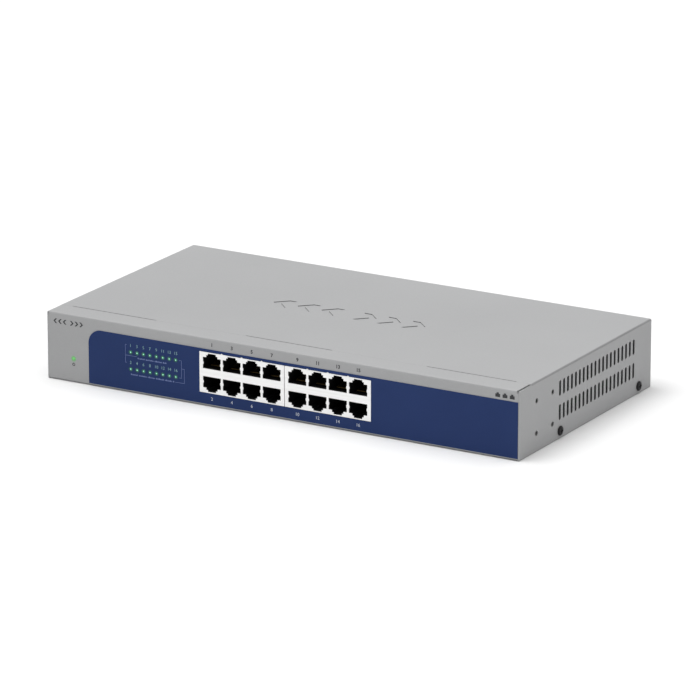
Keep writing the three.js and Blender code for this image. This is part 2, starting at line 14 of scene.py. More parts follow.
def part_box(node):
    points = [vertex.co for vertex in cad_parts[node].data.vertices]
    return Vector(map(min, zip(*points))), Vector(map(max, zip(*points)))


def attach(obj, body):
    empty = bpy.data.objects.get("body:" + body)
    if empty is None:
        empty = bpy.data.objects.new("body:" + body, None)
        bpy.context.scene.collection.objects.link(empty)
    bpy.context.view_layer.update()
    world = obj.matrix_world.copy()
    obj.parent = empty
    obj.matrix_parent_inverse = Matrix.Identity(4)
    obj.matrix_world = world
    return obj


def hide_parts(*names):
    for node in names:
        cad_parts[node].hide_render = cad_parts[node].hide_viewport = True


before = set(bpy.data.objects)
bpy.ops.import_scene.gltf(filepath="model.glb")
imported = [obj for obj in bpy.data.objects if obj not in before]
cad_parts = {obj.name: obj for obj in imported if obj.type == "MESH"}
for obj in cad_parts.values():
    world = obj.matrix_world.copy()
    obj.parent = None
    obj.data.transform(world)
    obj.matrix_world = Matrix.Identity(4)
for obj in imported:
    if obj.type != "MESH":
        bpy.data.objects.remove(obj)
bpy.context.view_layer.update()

MM = 0.001

# -------- sizes

COVER_LOW, COVER_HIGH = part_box("top_cover")
ORIGIN = Vector((0, COVER_LOW.y, COVER_LOW.z))
HALF_WIDTH = COVER_HIGH.x / MM
DEPTH = (COVER_HIGH.y - COVER_LOW.y) / MM
HEIGHT = (COVER_HIGH.z - COVER_LOW.z) / MM
FOOT_HEIGHT = COVER_LOW.z / MM

SHEET = 0.8
BEND = 0.4
BEND_STEPS = 8
SHARP_ANGLE = 35
SIDES = (("left", -1), ("right", 1))
INNER_HALF = HALF_WIDTH - SHEET
CHASSIS_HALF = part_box("chassis_base")[1].x / MM
FLANGE_DEPTH = 15
FLANGE_SIDE_GAPS = {-1: 0.35, 1: 0.7}  # by side; wider on the right
FLANGE_GAP_END = 14.4
SLIT = 0.8
TONGUE_XS = (-125.2, -1.3, 123.5)
TONGUE_WIDTH = 60
TONGUE_LENGTH = 6
TONGUE_TOP = HEIGHT - SHEET - 0.2
REAR_FLANGE = 8
TAB_HEIGHT = 9.4
TAB_SPAN = (30, 165)

VENT_YS = [50.6 + 5 * i for i in range(20)]
VENT_ZS = (16.2, 31.2)
VENT_WIDTH = 2.4
VENT_HEIGHT = 9.6
EAR_HOLES = [(y, z) for y in (21.5, 41.5) for z in (11.2, 31.2)]
EAR_HOLE_RADIUS = 1.6
SCREW_YS = (50.9, 152.8)
SCREW_Z = 4.6

FILM_FACE = -0.26  # the film's front; the print on it ends flush with the jack faces
PRINT_FACE = -0.3
PRINT_LINE = 0.18
FILM_LEFT = -134.1
FILM_BOTTOM = 1.2
FILM_TOP = 35.8
FILM_RADIUS = 9

LIGHT_XS = [-103.8 + 4.6 * i for i in range(8)]
LIGHT_ZS = (14.8, 25.5)
LIGHT_HOLE = 0.95
LIGHT_PIN = 0.85
POWER_LIGHT = (-145.2, 14.9)

JACK_CENTRE = 4.8
JACK_GAP = 0.4
JACK_WIDTH = 59.3
JACK_BOTTOM = 8.3
JACK_TOP = 33.8
JACK_MIDDLE = (JACK_BOTTOM + JACK_TOP) / 2
JACK_DEPTH = 22
JACK_SKIN = 0.3
PITCH = 13.97
SOCKET_DEPTH = 16
SOCKET = {"floor": 2.45, "body": 9.6, "step": 10.95, "latch": 12.1, "wide": 6.0, "narrow": 3.95, "tip": 2.85}
CONTACT = {"y": 5.5, "lift": 0.95, "rest": radians(14), "pitch": 1.02, "length": 7.5}

BOARD_TOP = JACK_BOTTOM
BOARD_THICK = 1.6
MAIN_BOARD = {
    "outline": [(-152, 2.5), (150, 2.5), (150, 160), (-52, 160), (-52, 98), (-152, 98)],
    "screws": ((-147, 12), (145, 12), (-147, 92), (145, 154)),
}
POWER_BOARD = {
    "outline": [(-150, 104), (-60, 104), (-60, 160), (-150, 160)],
    "screws": ((-145, 109), (-65, 109)),
}
BOARD_SCREWS = MAIN_BOARD["screws"] + POWER_BOARD["screws"]
INSULATOR = {"x": -156, "foot": 7, "y": (102, 160), "thickness": 0.4, "top": 38}
LOCK_SLOT = (56.5, 63.5, 18.5, 21.5)

INLET = Vector((-115, DEPTH + 1.5, 21.5))  # middle of the inlet's outer face
INLET_RIM = (31, 24.4)
INLET_BODY = (27, 19.6)
INLET_MOUTH = (24.4, 16.4)
INLET_DEPTH = 20.4
INLET_SOCKET = 16
INLET_PINS = {"line": (-7, -2), "neutral": (7, -2), "earth": (0, 2)}

EMBLEM = {
    "y": 85, "count": 3, "first": 13, "pitch": 17,
    "length": 13, "width": 15, "stroke": 5.5, "depth": 0.5,
}


def block_centre(side):
    return JACK_CENTRE + side * (JACK_GAP + JACK_WIDTH) / 2


def columns(side):
    return [block_centre(side) + step * PITCH for step in (-1.5, -0.5, 0.5, 1.5)]


def jacks(side):
    """(x, row) of each jack of a block; row is 1 where the latch is up, -1 where it is down."""
    return [(x, row) for x in columns(side) for row in (1, -1)]


def ports():
    """(number, x, row) of every jack."""
    return [(number, *jack) for number, jack in enumerate(jacks(-1) + jacks(1), 1)]


def case_corners(front, rear):
    """(name, side, y) of a piece that comes once near each corner of the case."""
    ends = (("front", front), ("rear", rear))
    return [(f"{name}_{end}", side, y) for name, side in SIDES for end, y in ends]


def around_inlet(size, margin=0):
    """The bounds in x and z of a rectangle of that size about the inlet's middle."""
    half, tall = (length / 2 + margin for length in size)
    return (INLET.x - half, INLET.x + half, INLET.z - tall, INLET.z + tall)


# -------- outlines


def arc(x, y, radius, start, end, steps):
    angles = [radians(start + (end - start) * i / steps) for i in range(steps + 1)]
    return [(x + radius * cos(a), y + radius * sin(a)) for a in angles]


def circle(x, y, radius, steps=24):
    return arc(x, y, radius, 0, 360, steps)[:-1]


def rectangle(x0, x1, y0, y1):
    return [(x0, y0), (x1, y0), (x1, y1), (x0, y1)]


def rounded(x0, x1, y0, y1, radius, steps=6):
    points = []
    for x, y, start in ((x1, y0, -90), (x1, y1, 0), (x0, y1, 90), (x0, y0, 180)):
        cx = x + (radius if x == x0 else -radius)
        cy = y + (radius if y == y0 else -radius)
        points += arc(cx, cy, radius, start, start + 90, steps)
    return points


def upright_slot(x, y, width, height):
    r = width / 2
    reach = height / 2 - r
    return arc(x, y + reach, r, 0, 180, 10) + arc(x, y - reach, r, 180, 360, 10)


def folded_sheet(path, thickness=SHEET, bend=BEND):
    """The section of a folded sheet that follows a centre line, with round bends."""
    corners = [Vector(p) for p in path]
    runs = [(b - a).normalized() for a, b in zip(corners, corners[1:])]
    faces = []
    for side in (-1, 1):
        points = []
        for i, corner in enumerate(corners):
            before = runs[max(i - 1, 0)]
            after = runs[min(i, len(runs) - 1)]
            left_before = Vector((-before.y, before.x))
            left_after = Vector((-after.y, after.x))
            miter = left_before + left_after
            edge = corner + miter * (side * thickness / miter.length_squared)
            turn = before.cross(after)
            if abs(turn) < 0.001:
                points.append(tuple(edge))
                continue
            turn = 1 if turn > 0 else -1
            radius = bend if turn == side else bend + thickness
            centre = edge - before * radius + left_before * (turn * radius)
            start = left_before * (-turn * radius)
            for k in range(BEND_STEPS + 1):
                spin = Matrix.Rotation(turn * k * (pi / 2) / BEND_STEPS, 2)
                points.append(tuple(centre + spin @ start))
        faces.append(points)
    return faces[0] + faces[1][::-1]


def socket_mouth(x, row, grow=0, springs=False):
    """A jack's mouth; springs adds the shield's two small side springs."""
    s = SOCKET
    wide = s["wide"] + grow
    half = [(wide, s["floor"])]
    if springs:
        half += [(wide, 4.8), (wide - 0.42, 5.3), (wide - 0.42, 6.5), (wide, 7.0)]
    half += [
        (wide, s["body"]),
        (s["narrow"], s["body"]),
        (s["narrow"], s["step"]),
        (s["tip"], s["step"]),
        (s["tip"], s["latch"] - 0.25),
        (s["tip"] - 0.25, s["latch"]),
    ]
    right = [(x + dx, JACK_MIDDLE + row * dz) for dx, dz in half]
    left = [(x - dx, JACK_MIDDLE + row * dz) for dx, dz in reversed(half)]
    return right + left


def chevron(x, y, towards, scale):
    """A chevron that points along x, the usual sign for traffic in one direction."""
    half = EMBLEM["length"] / 2
    wing = EMBLEM["width"] / 2
    stroke = EMBLEM["stroke"]
    flight = EMBLEM["length"] - stroke
    inner = [(-half, wing), (half - stroke, 0), (-half, -wing)]
    points = [(half - flight, wing), *inner, (half - flight, -wing), (half, 0)]
    return [(x + towards * dx * scale, y + dy * scale) for dx, dy in points]


def chevrons(x, y, scale=1):
    """The mark of the top and the front: chevrons that point away from the middle."""
    reaches = [EMBLEM["first"] + i * EMBLEM["pitch"] for i in range(EMBLEM["count"])]
    places = [(side, reach) for side in (-1, 1) for reach in reaches]
    return [chevron(x + side * reach * scale, y, side, scale) for side, reach in places]


# -------- mesh tools


def new_object(name, data):
    made = bpy.data.objects.new(name, data)
    bpy.context.scene.collection.objects.link(made)
    return made


def case_point(x, y, z):
    return ORIGIN + Vector((x, y, z)) * MM


class Form:
    """A mesh in the making, drawn in case millimetres."""

    def __init__(self):
        self.mesh = bmesh.new()

    def vertex(self, x, y, z):
        return self.mesh.verts.new(case_point(x, y, z))

    def prism(self, axis, points, low, high):
        """A closed outline of points pushed along an axis from low to high."""
        place = {"x": lambda p, h: (h, *p), "y": lambda p, h: (p[0], h, p[1]), "z": lambda p, h: (*p, h)}
        rings = [[self.vertex(*place[axis](p, level)) for p in points] for level in (low, high)]
        self.stack(rings)
        return self

    def box(self, x0, x1, y0, y1, z0, z1):
        return self.prism("z", rectangle(x0, x1, y0, y1), z0, z1)

    def stack(self, rings):
        """Joins rings of equal length into a closed tube with flat ends."""
        self.mesh.faces.new(rings[0][::-1])
        self.mesh.faces.new(rings[-1])
        for lower, upper in zip(rings, rings[1:]):
            for i in range(len(lower)):
                j = (i + 1) % len(lower)
                self.mesh.faces.new((lower[i], lower[j], upper[j], upper[i]))

    def turned(self, centre, axis, profile, steps=32):
        """A closed solid of revolution; profile is a list of (radius, height) that never reaches the axis."""
        turn = Vector((0, 0, 1)).rotation_difference(Vector(axis)).to_matrix()
        rings = []
        for radius, height in profile:
            ring = [turn @ Vector((x, y, height)) + Vector(centre) for x, y in circle(0, 0, radius, steps)]
            rings.append([self.vertex(*p) for p in ring])
        self.stack(rings)
        return self

    def piece(self, name):
        bmesh.ops.recalc_face_normals(self.mesh, faces=self.mesh.faces)
        data = bpy.data.meshes.new(name)
        self.mesh.to_mesh(data)
        self.mesh.free()
        return new_object(name, data)


def apply_modifiers(piece):
    graph = bpy.context.evaluated_depsgraph_get()
    data = bpy.data.meshes.new_from_object(piece.evaluated_get(graph))
    data.materials.clear()
    piece.modifiers.clear()
    old = piece.data
    piece.data = data
    if old.users == 0:
        bpy.data.meshes.remove(old)


def combine(piece, form, operation):
    tool = form.piece("tool")
    change = piece.modifiers.new("change", "BOOLEAN")
    change.solver = "EXACT"
    change.operation = operation
    change.object = tool
    apply_modifiers(piece)
    bpy.data.objects.remove(tool, do_unlink=True)


def cut(piece, form):
    combine(piece, form, "DIFFERENCE")


def join(piece, form):
    combine(piece, form, "UNION")


def soften(piece, width, segments=2):
    edge = piece.modifiers.new("edge", "BEVEL")
    edge.width = width * MM
    edge.segments = segments
    edge.limit_method = "ANGLE"
    edge.angle_limit = radians(SHARP_ANGLE)
    edge.use_clamp_overlap = False
    edge.harden_normals = True
    shade(piece)
    apply_modifiers(piece)


def shade(piece, angle=SHARP_ANGLE):
    piece.data.shade_smooth()
    piece.data.set_sharp_from_angle(angle=radians(angle))


def finish_piece(piece, material, slot, *replaced, body="chassis"):
    if not piece.data.materials:
        piece.data.materials.append(material)
    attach(piece, body)
    if replaced:
        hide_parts(*replaced)


def softened(form, name, edge, material, slot, *replaced, segments=2):
    """A finished piece of the chassis with its edges broken."""
    made = form.piece(name)
    soften(made, edge, segments)
    finish_piece(made, material, slot, *replaced)


def merge(name, pieces):
    """One mesh object made from several, which are removed."""
    whole = bmesh.new()
    for made in pieces:
        data = made.data.copy()
        data.transform(made.matrix_world)
        whole.from_mesh(data)
        bpy.data.meshes.remove(data)
        bpy.data.objects.remove(made, do_unlink=True)
    data = bpy.data.meshes.new(name)
    whole.to_mesh(data)
    whole.free()
    return new_object(name, data)


def from_curve(name, data):
    """A closed mesh object from a curve or text."""
    holder = new_object(name, data)
    graph = bpy.context.evaluated_depsgraph_get()
    mesh = bpy.data.meshes.new_from_object(holder.evaluated_get(graph))
    bpy.data.objects.remove(holder, do_unlink=True)
    bpy.data.curves.remove(data)
    welded = bmesh.new()
    welded.from_mesh(mesh)
    bmesh.ops.remove_doubles(welded, verts=welded.verts, dist=0.001 * MM)
    bmesh.ops.dissolve_degenerate(welded, edges=welded.edges, dist=0.001 * MM)
    bmesh.ops.recalc_face_normals(welded, faces=welded.faces)
    welded.to_mesh(mesh)
    welded.free()
    return new_object(name, mesh)


def wire(name, points, radius, sides=4, steps=10):
    """A round wire along a smooth curve through points, closed at both ends."""
    data = bpy.data.curves.new(name, "CURVE")
    data.dimensions = "3D"
    data.bevel_depth = radius * MM
    data.bevel_resolution = sides
    data.resolution_u = steps
    data.use_fill_caps = True
    spline = data.splines.new("BEZIER")
    spline.bezier_points.add(len(points) - 1)
    for knot, p in zip(spline.bezier_points, points):
        knot.co = case_point(*p)
        knot.handle_left_type = knot.handle_right_type = "AUTO"
    made = from_curve(name, data)
    shade(made, 50)
    return made


def numeral(text, x, z, height, back=FILM_FACE, face=PRINT_FACE, thinned=0.0):
    """A printed number that faces the front."""
    data = bpy.data.curves.new("numeral", "FONT")
    data.body = text
    data.align_x = "CENTER"
    data.align_y = "CENTER"
    data.size = height * MM / 0.7
    data.extrude = (back - face) / 2 * MM
    data.offset = -thinned * MM
    data.resolution_u = 4
    made = from_curve("numeral", data)
    middle = case_point(x, (back + face) / 2, z)
    made.data.transform(Matrix.Translation(middle) @ Matrix.Rotation(pi / 2, 4, "X"))
    return made


# -------- materials


def fill_inputs(node, values):
    """Sets a node's inputs; an underscore stands for the space in an input's name."""
    for key, value in values.items():
        node.inputs[key.replace("_", " ")].default_value = value


class Look:
    """A node material; its colours are linear and its patterns are measured in metres."""

    def __init__(self, name):
        self.material = bpy.data.materials.new(name)
        self.material.use_nodes = True
        self.nodes = self.material.node_tree.nodes
        self.links = self.material.node_tree.links
        self.shader = self.nodes["Principled BSDF"]
        self.place = self.add("TexCoord").outputs["Object"]

    def set(self, **values):
        fill_inputs(self.shader, values)

    def add(self, kind, **values):
        node = self.nodes.new("ShaderNode" + kind)
        fill_inputs(node, values)
        return node

    def stretched(self, x, y, z):
        mapping = self.add("Mapping", Scale=(x, y, z))
        self.links.new(self.place, mapping.inputs["Vector"])
        return mapping.outputs["Vector"]

    def noise(self, scale, detail=3.0, roughness=0.55, place=None):
        node = self.add("TexNoise", Scale=scale, Detail=detail, Roughness=roughness)
        self.links.new(place or self.place, node.inputs["Vector"])
        return node.outputs["Fac"]

    def ramp(self, value, stops):
        node = self.add("ValToRGB")
        while len(node.color_ramp.elements) < len(stops):
            node.color_ramp.elements.new(0.5)
        for element, (at, colour) in zip(node.color_ramp.elements, stops):
            element.position = at
            element.color = (*colour, 1)
        self.links.new(value, node.inputs["Fac"])
        return node.outputs["Color"]

    def remap(self, value, low, high):
        node = self.add("MapRange", To_Min=low, To_Max=high)
        self.links.new(value, node.inputs["Value"])
        return node.outputs["Result"]

    def mix(self, factor, a, b, blend="MIX"):
        node = self.add("Mix")
        node.data_type = "RGBA"
        node.blend_type = blend
        for socket, value in ((node.inputs["Factor"], factor), (node.inputs["A"], a), (node.inputs["B"], b)):
            if isinstance(value, bpy.types.NodeSocket):
                self.links.new(value, socket)
            else:
                socket.default_value = value if socket.type == "VALUE" else (*value, 1)
        return node.outputs["Result"]

    def colour(self, value):
        self.links.new(value, self.shader.inputs["Base Color"])

    def rough(self, value):
        self.links.new(value, self.shader.inputs["Roughness"])

    def bump(self, height, distance, strength=1.0):
        node = self.add("Bump", Strength=strength, Distance=distance)
        self.links.new(height, node.inputs["Height"])
        previous = self.shader.inputs["Normal"]
        if previous.is_linked:
            self.links.new(previous.links[0].from_socket, node.inputs["Normal"])
        self.links.new(node.outputs["Normal"], previous)


def shades(colour, spread):
    return [tuple(max(0.0, c * (1 + s)) for c in colour) for s in (-spread, spread)]


def simple_look(name, colour, roughness, spread=0.06, grain=900, bump=0.00001, **values):
    """Moulded, plated or painted stuff: a slight drift of colour and gloss and a fine grain."""
    look = Look(name)
    low, high = shades(colour, spread)
    look.colour(look.ramp(look.noise(45, 4), [(0.3, low), (0.7, high)]))
    look.rough(look.remap(look.noise(grain * 0.4, 4), roughness - 0.06, roughness + 0.06))
    look.bump(look.noise(grain, 2), bump, 0.5)
    look.set(**values)
    return look.material


def powder_coat():
    """Satin grey powder coat with its fine orange peel."""
    look = Look("grey_powder_coat")
    drift = look.ramp(look.noise(9, 3), [(0.3, (0.350, 0.352, 0.356)), (0.7, (0.368, 0.370, 0.374))])
    speck = look.ramp(look.noise(2600, 1), [(0.42, (0.955, 0.955, 0.955)), (0.58, (1, 1, 1))])
    look.colour(look.mix(1.0, drift, speck, "MULTIPLY"))
    look.rough(look.remap(look.noise(600, 3), 0.46, 0.60))
    look.bump(look.noise(1500, 2), 0.000035, 0.35)
    look.bump(look.noise(420, 2), 0.00006, 0.18)
    look.set(Specular_IOR_Level=0.42)
    return look.material


def printed_film():
    """Deep blue printed film over the steel, faintly textured."""
    look = Look("blue_printed_film")
    drift = look.ramp(look.noise(14, 3), [(0.3, (0.0125, 0.0307, 0.1125)), (0.7, (0.0153, 0.0363, 0.129))])
    speck = look.ramp(look.noise(2200, 1), [(0.4, (0.93, 0.93, 0.95)), (0.6, (1, 1, 1))])
    look.colour(look.mix(1.0, drift, speck, "MULTIPLY"))
    look.rough(look.remap(look.noise(900, 2), 0.36, 0.46))
    look.bump(look.noise(1900, 2), 0.00002, 0.35)
    look.set(Specular_IOR_Level=0.14)
    return look.material


def tin_plate():
    """Bright tin-plated shield with fine rolling marks along its width."""
    look = Look("bright_tin_plate")
    marks = look.noise(260, 3, 0.6, look.stretched(0.05, 1, 4))
    look.colour(look.ramp(marks, [(0.3, (0.86, 0.86, 0.85)), (0.7, (0.93, 0.93, 0.925))]))
    look.rough(look.remap(look.noise(700, 3, 0.6, look.stretched(0.08, 1, 3)), 0.30, 0.44))
    look.bump(marks, 0.00001, 0.3)
    look.set(Metallic=0.55)
    return look.material


def circuit_board():
    """Green solder mask over copper tracks and ground fill."""
    look = Look("green_circuit_board")
    tracks = look.add(
        "TexBrick", Scale=1, Brick_Width=0.019, Row_Height=0.0011, Mortar_Size=0.00022, Mortar_Smooth=0.2)
    tracks.offset = 0.37
    look.links.new(look.place, tracks.inputs["Vector"])
    mask = look.ramp(look.noise(55, 2), [(0.46, (0, 0, 0)), (0.5, (1, 1, 1))])
    lined = look.mix(tracks.outputs["Fac"], (0.020, 0.110, 0.045), (0.040, 0.190, 0.075))
    fill = look.ramp(look.noise(30, 3), [(0.3, (0.018, 0.100, 0.040)), (0.7, (0.024, 0.125, 0.050))])
    look.colour(look.mix(mask, lined, fill))
    look.rough(look.remap(look.noise(300, 3), 0.28, 0.42))
    look.bump(tracks.outputs["Fac"], 0.00003, 0.5)
    return look.material


def extruded_aluminium():
    look = Look("extruded_aluminium")
    lines = look.noise(900, 3, 0.6, look.stretched(1, 0.02, 1))
    look.colour(look.ramp(lines, [(0.3, (0.50, 0.51, 0.52)), (0.7, (0.60, 0.61, 0.62))]))
    look.rough(look.remap(lines, 0.30, 0.46))
    look.bump(lines, 0.00002, 0.4)
    look.set(Metallic=0.9)
    return look.material


def lit_lens(name, colour, strength):
    """A lit light pipe, mottled a little by the moulding."""
    look = Look(name)
    shown = look.ramp(look.noise(1500, 2), [(0.3, shades(colour, 0.08)[0]), (0.7, shades(colour, 0.08)[1])])
    look.colour(shown)
    look.links.new(shown, look.shader.inputs["Emission Color"])
    look.set(Emission_Strength=strength, Roughness=0.25)
    return look.material


def glow_on_paint():
    """Green light spilling from the power light over the grey paint around it."""
    look = Look("glow_on_grey_paint")
    reach = 2.3 * MM
    centre = case_point(POWER_LIGHT[0], 0, POWER_LIGHT[1])
    mapping = look.add("Mapping", Location=-centre / reach, Scale=(1 / reach, 1 / reach, 1 / reach))
    look.links.new(look.place, mapping.inputs["Vector"])
    spread = look.add("TexGradient")
    spread.gradient_type = "SPHERICAL"
    look.links.new(mapping.outputs["Vector"], spread.inputs["Vector"])
    glow = look.ramp(spread.outputs["Fac"], [(0.0, (0.359, 0.361, 0.365)), (0.62, (0.14, 0.46, 0.14))])
    look.colour(glow)
    look.rough(look.remap(look.noise(600, 3), 0.46, 0.60))
    look.set(Specular_IOR_Level=0.42)
    return look.material


def winding_tape():
    look = Look("yellow_winding_tape")
    turns = look.noise(500, 2, 0.5, look.stretched(0.1, 0.1, 3))
    look.colour(look.ramp(turns, [(0.35, (0.55, 0.36, 0.05)), (0.65, (0.66, 0.46, 0.08))]))
    look.rough(look.remap(turns, 0.28, 0.42))
    look.bump(turns, 0.00008, 0.5)
    return look.material


PAINT = powder_coat()
FILM = printed_film()
TIN = tin_plate()
BOARD = circuit_board()
ALUMINIUM = extruded_aluminium()
TAPE = winding_tape()
BLACK_PLASTIC = simple_look(
    "black_moulded_plastic", (0.005, 0.005, 0.0055), 0.5, 0.12, Specular_IOR_Level=0.22)
BLACK_OXIDE = simple_look(
    "black_oxide_steel", (0.006, 0.006, 0.007), 0.42, 0.15, 1400, Specular_IOR_Level=0.3)
# Painted shade: a near-black for the walls of the side vents and of the sunk top mark, standing in for the
# shade inside them.
PAINTED_HOLE_SHADE = simple_look("painted_shade_on_hole_walls", (0.075, 0.076, 0.078), 0.6, 0.1)
# Painted shade: a darker grey for the side bends of the cover, a dark line standing in for shade along them.
PAINTED_BEND_SHADE = simple_look("painted_shade_along_bend", (0.235, 0.236, 0.238), 0.55, 0.06, 1400)
ZINC = simple_look("zinc_plated_steel", (0.50, 0.51, 0.50), 0.34, 0.08, 1200, Metallic=0.95)
RUBBER = simple_look("black_foot_rubber", (0.012, 0.012, 0.012), 0.82, 0.1, 1500, 0.00003)
# Gold plate darkened well below bright gold: painted shade for the contacts deep inside the jacks.
SHADED_GOLD = simple_look("gold_plate_with_painted_shade", (0.17, 0.115, 0.04), 0.42, 0.08, 1500, Metallic=0.9)
CHIP = simple_look("black_moulded_package", (0.014, 0.014, 0.015), 0.55, 0.1, 2200, 0.00002)
SLEEVE = simple_look("blue_shrunk_sleeve", (0.012, 0.026, 0.075), 0.26, 0.08, 500)
FERRITE = simple_look("grey_ferrite", (0.028, 0.029, 0.032), 0.62, 0.15, 1300, 0.00003)
WHITE_PRINT = simple_look("white_print", (0.55, 0.59, 0.66), 0.5, 0.04)
DIM_PRINT = simple_look("pale_blue_print", (0.20, 0.37, 0.39), 0.5, 0.05)
LEGEND_PRINT = simple_look("blue_grey_print", (0.14, 0.19, 0.40), 0.5, 0.05)
DARK_PRINT = simple_look("dark_grey_print", (0.018, 0.019, 0.022), 0.5, 0.06)
FISH_PAPER = simple_look("black_insulating_film", (0.016, 0.016, 0.017), 0.4, 0.1, 700)
CREAM = simple_look("cream_nylon", (0.62, 0.58, 0.48), 0.4, 0.05)
COPPER = simple_look("enamelled_copper", (0.55, 0.20, 0.06), 0.3, 0.1, 900, Metallic=0.9)
CERAMIC = simple_look("brown_ceramic", (0.30, 0.19, 0.11), 0.45, 0.12, 1500)
CLEAR_PIPE = simple_look("milky_light_pipe", (0.55, 0.66, 0.60), 0.22, 0.04, 700)
GREEN_LENS = lit_lens("lit_green_lens", (0.31, 0.66, 0.47), 0.65)
GREEN_RIM = lit_lens("green_lens_rim", (0.012, 0.17, 0.105), 0.45)
POWER_LENS = lit_lens("lit_power_lens", (0.12, 0.46, 0.12), 0.5)
# Painted glow: a green ring on the film round each status light stands in for the light spilling from it.
PAINTED_GREEN_GLOW = simple_look("green_glow", (0.008, 0.080, 0.065), 0.4, 0.08)
POWER_GLOW = glow_on_paint()
LEADS = {
    "line": simple_look("brown_lead", (0.105, 0.042, 0.020), 0.38),
    "neutral": simple_look("blue_lead", (0.020, 0.075, 0.36), 0.38),
    "earth": simple_look("green_lead", (0.075, 0.30, 0.030), 0.38),
    "red": simple_look("red_lead", (0.42, 0.016, 0.014), 0.38),
    "black": simple_look("black_lead", (0.012, 0.012, 0.013), 0.38),
}

# -------- steel case


def jack_window(margin):
    half = JACK_WIDTH + JACK_GAP / 2 + margin
    return (JACK_CENTRE - half, JACK_CENTRE + half, JACK_BOTTOM - margin, JACK_TOP + margin)


def light_places():
    return [(x, z) for z in LIGHT_ZS for x in LIGHT_XS]


def spring_bumps(side):
    """(x, z) of the shield's small spring bumps along its upper edge."""
    xs = columns(side)
    return [((a + b) / 2, JACK_TOP) for a, b in zip(xs, xs[1:])]


def add_bumps(form, grow, y0, y1):
    for side in (-1, 1):
        for x, z in spring_bumps(side):
            form.prism("y", arc(x, z - 0.4, 0.95 + grow, 0, 180, 8), y0, y1)


def make_cover():
    middle = SHEET / 2
    wall = HALF_WIDTH - middle
    roof = HEIGHT - middle
    section = folded_sheet([(-wall, 0), (-wall, roof), (wall, roof), (wall, 0)])
    cover = Form().prism("y", section, FLANGE_DEPTH + 0.1, DEPTH).piece("cover_shell")
    fronts = Form()
    outer = BEND + SHEET
    for side in (-1, 1):
        shoulder = arc(HALF_WIDTH - outer, HEIGHT - outer, outer, 0, 33.75, 3)
        wall_top = shoulder[-1][1]
        inner = CHASSIS_HALF + 0.03
        wall = [(HALF_WIDTH, 0), *shoulder, (inner, wall_top), (inner, 0)]
        fronts.prism("y", [(side * x, z) for x, z in wall], 0, FLANGE_DEPTH + 0.6)
    join(cover, fronts)
    holes = Form()
    through = HALF_WIDTH + 1
    for y in VENT_YS:
        for z in VENT_ZS:
            holes.prism("x", upright_slot(y, z, VENT_WIDTH, VENT_HEIGHT), -through, through)
    for y, z in EAR_HOLES:
        holes.prism("x", circle(y, z, EAR_HOLE_RADIUS), -through, through)
    for y in SCREW_YS:
        holes.prism("x", circle(y, SCREW_Z, 1.75), -through, through)
    for x in TONGUE_XS:
        half = TONGUE_WIDTH / 2
        holes.box(x - half, x + half, FLANGE_DEPTH, FLANGE_DEPTH + SLIT, roof - 1, HEIGHT + 1)
    for mark in chevrons(0, EMBLEM["y"]):
        holes.prism("z", mark, HEIGHT - EMBLEM["depth"], HEIGHT + 1)
    cut(cover, holes)
    soften(cover, 0.08)
    for material in (PAINT, PAINTED_HOLE_SHADE, PAINTED_BEND_SHADE):
        cover.data.materials.append(material)
    for face in cover.data.polygons:
        spot = (face.center - ORIGIN) / MM
        in_wall = abs(abs(spot.x) - HALF_WIDTH + SHEET / 2) < SHEET / 2 - 0.05
        vent = in_wall and abs(face.normal.x) < 0.3 and VENT_YS[0] - 2 < spot.y < VENT_YS[-1] + 2
        mark = abs(face.normal.z) < 0.3 and abs(spot.y - EMBLEM["y"]) < EMBLEM["width"] / 2 + 0.2
        bend = abs(spot.x) > HALF_WIDTH - outer and spot.z > HEIGHT - outer and spot.y > FLANGE_DEPTH
        # The walls of the side vents and of the sunk top mark take the painted shade.
        if (vent and spot.z > 10) or (mark and abs(spot.x) < HALF_WIDTH / 2):
            face.material_index = 1
        # The faces along the side bends take the painted dark line of shade.
        elif bend and 0.2 < abs(face.normal.x) < 0.98:
            face.material_index = 2
    finish_piece(cover, PAINT, "grey_paint", "top_cover", body="cover")


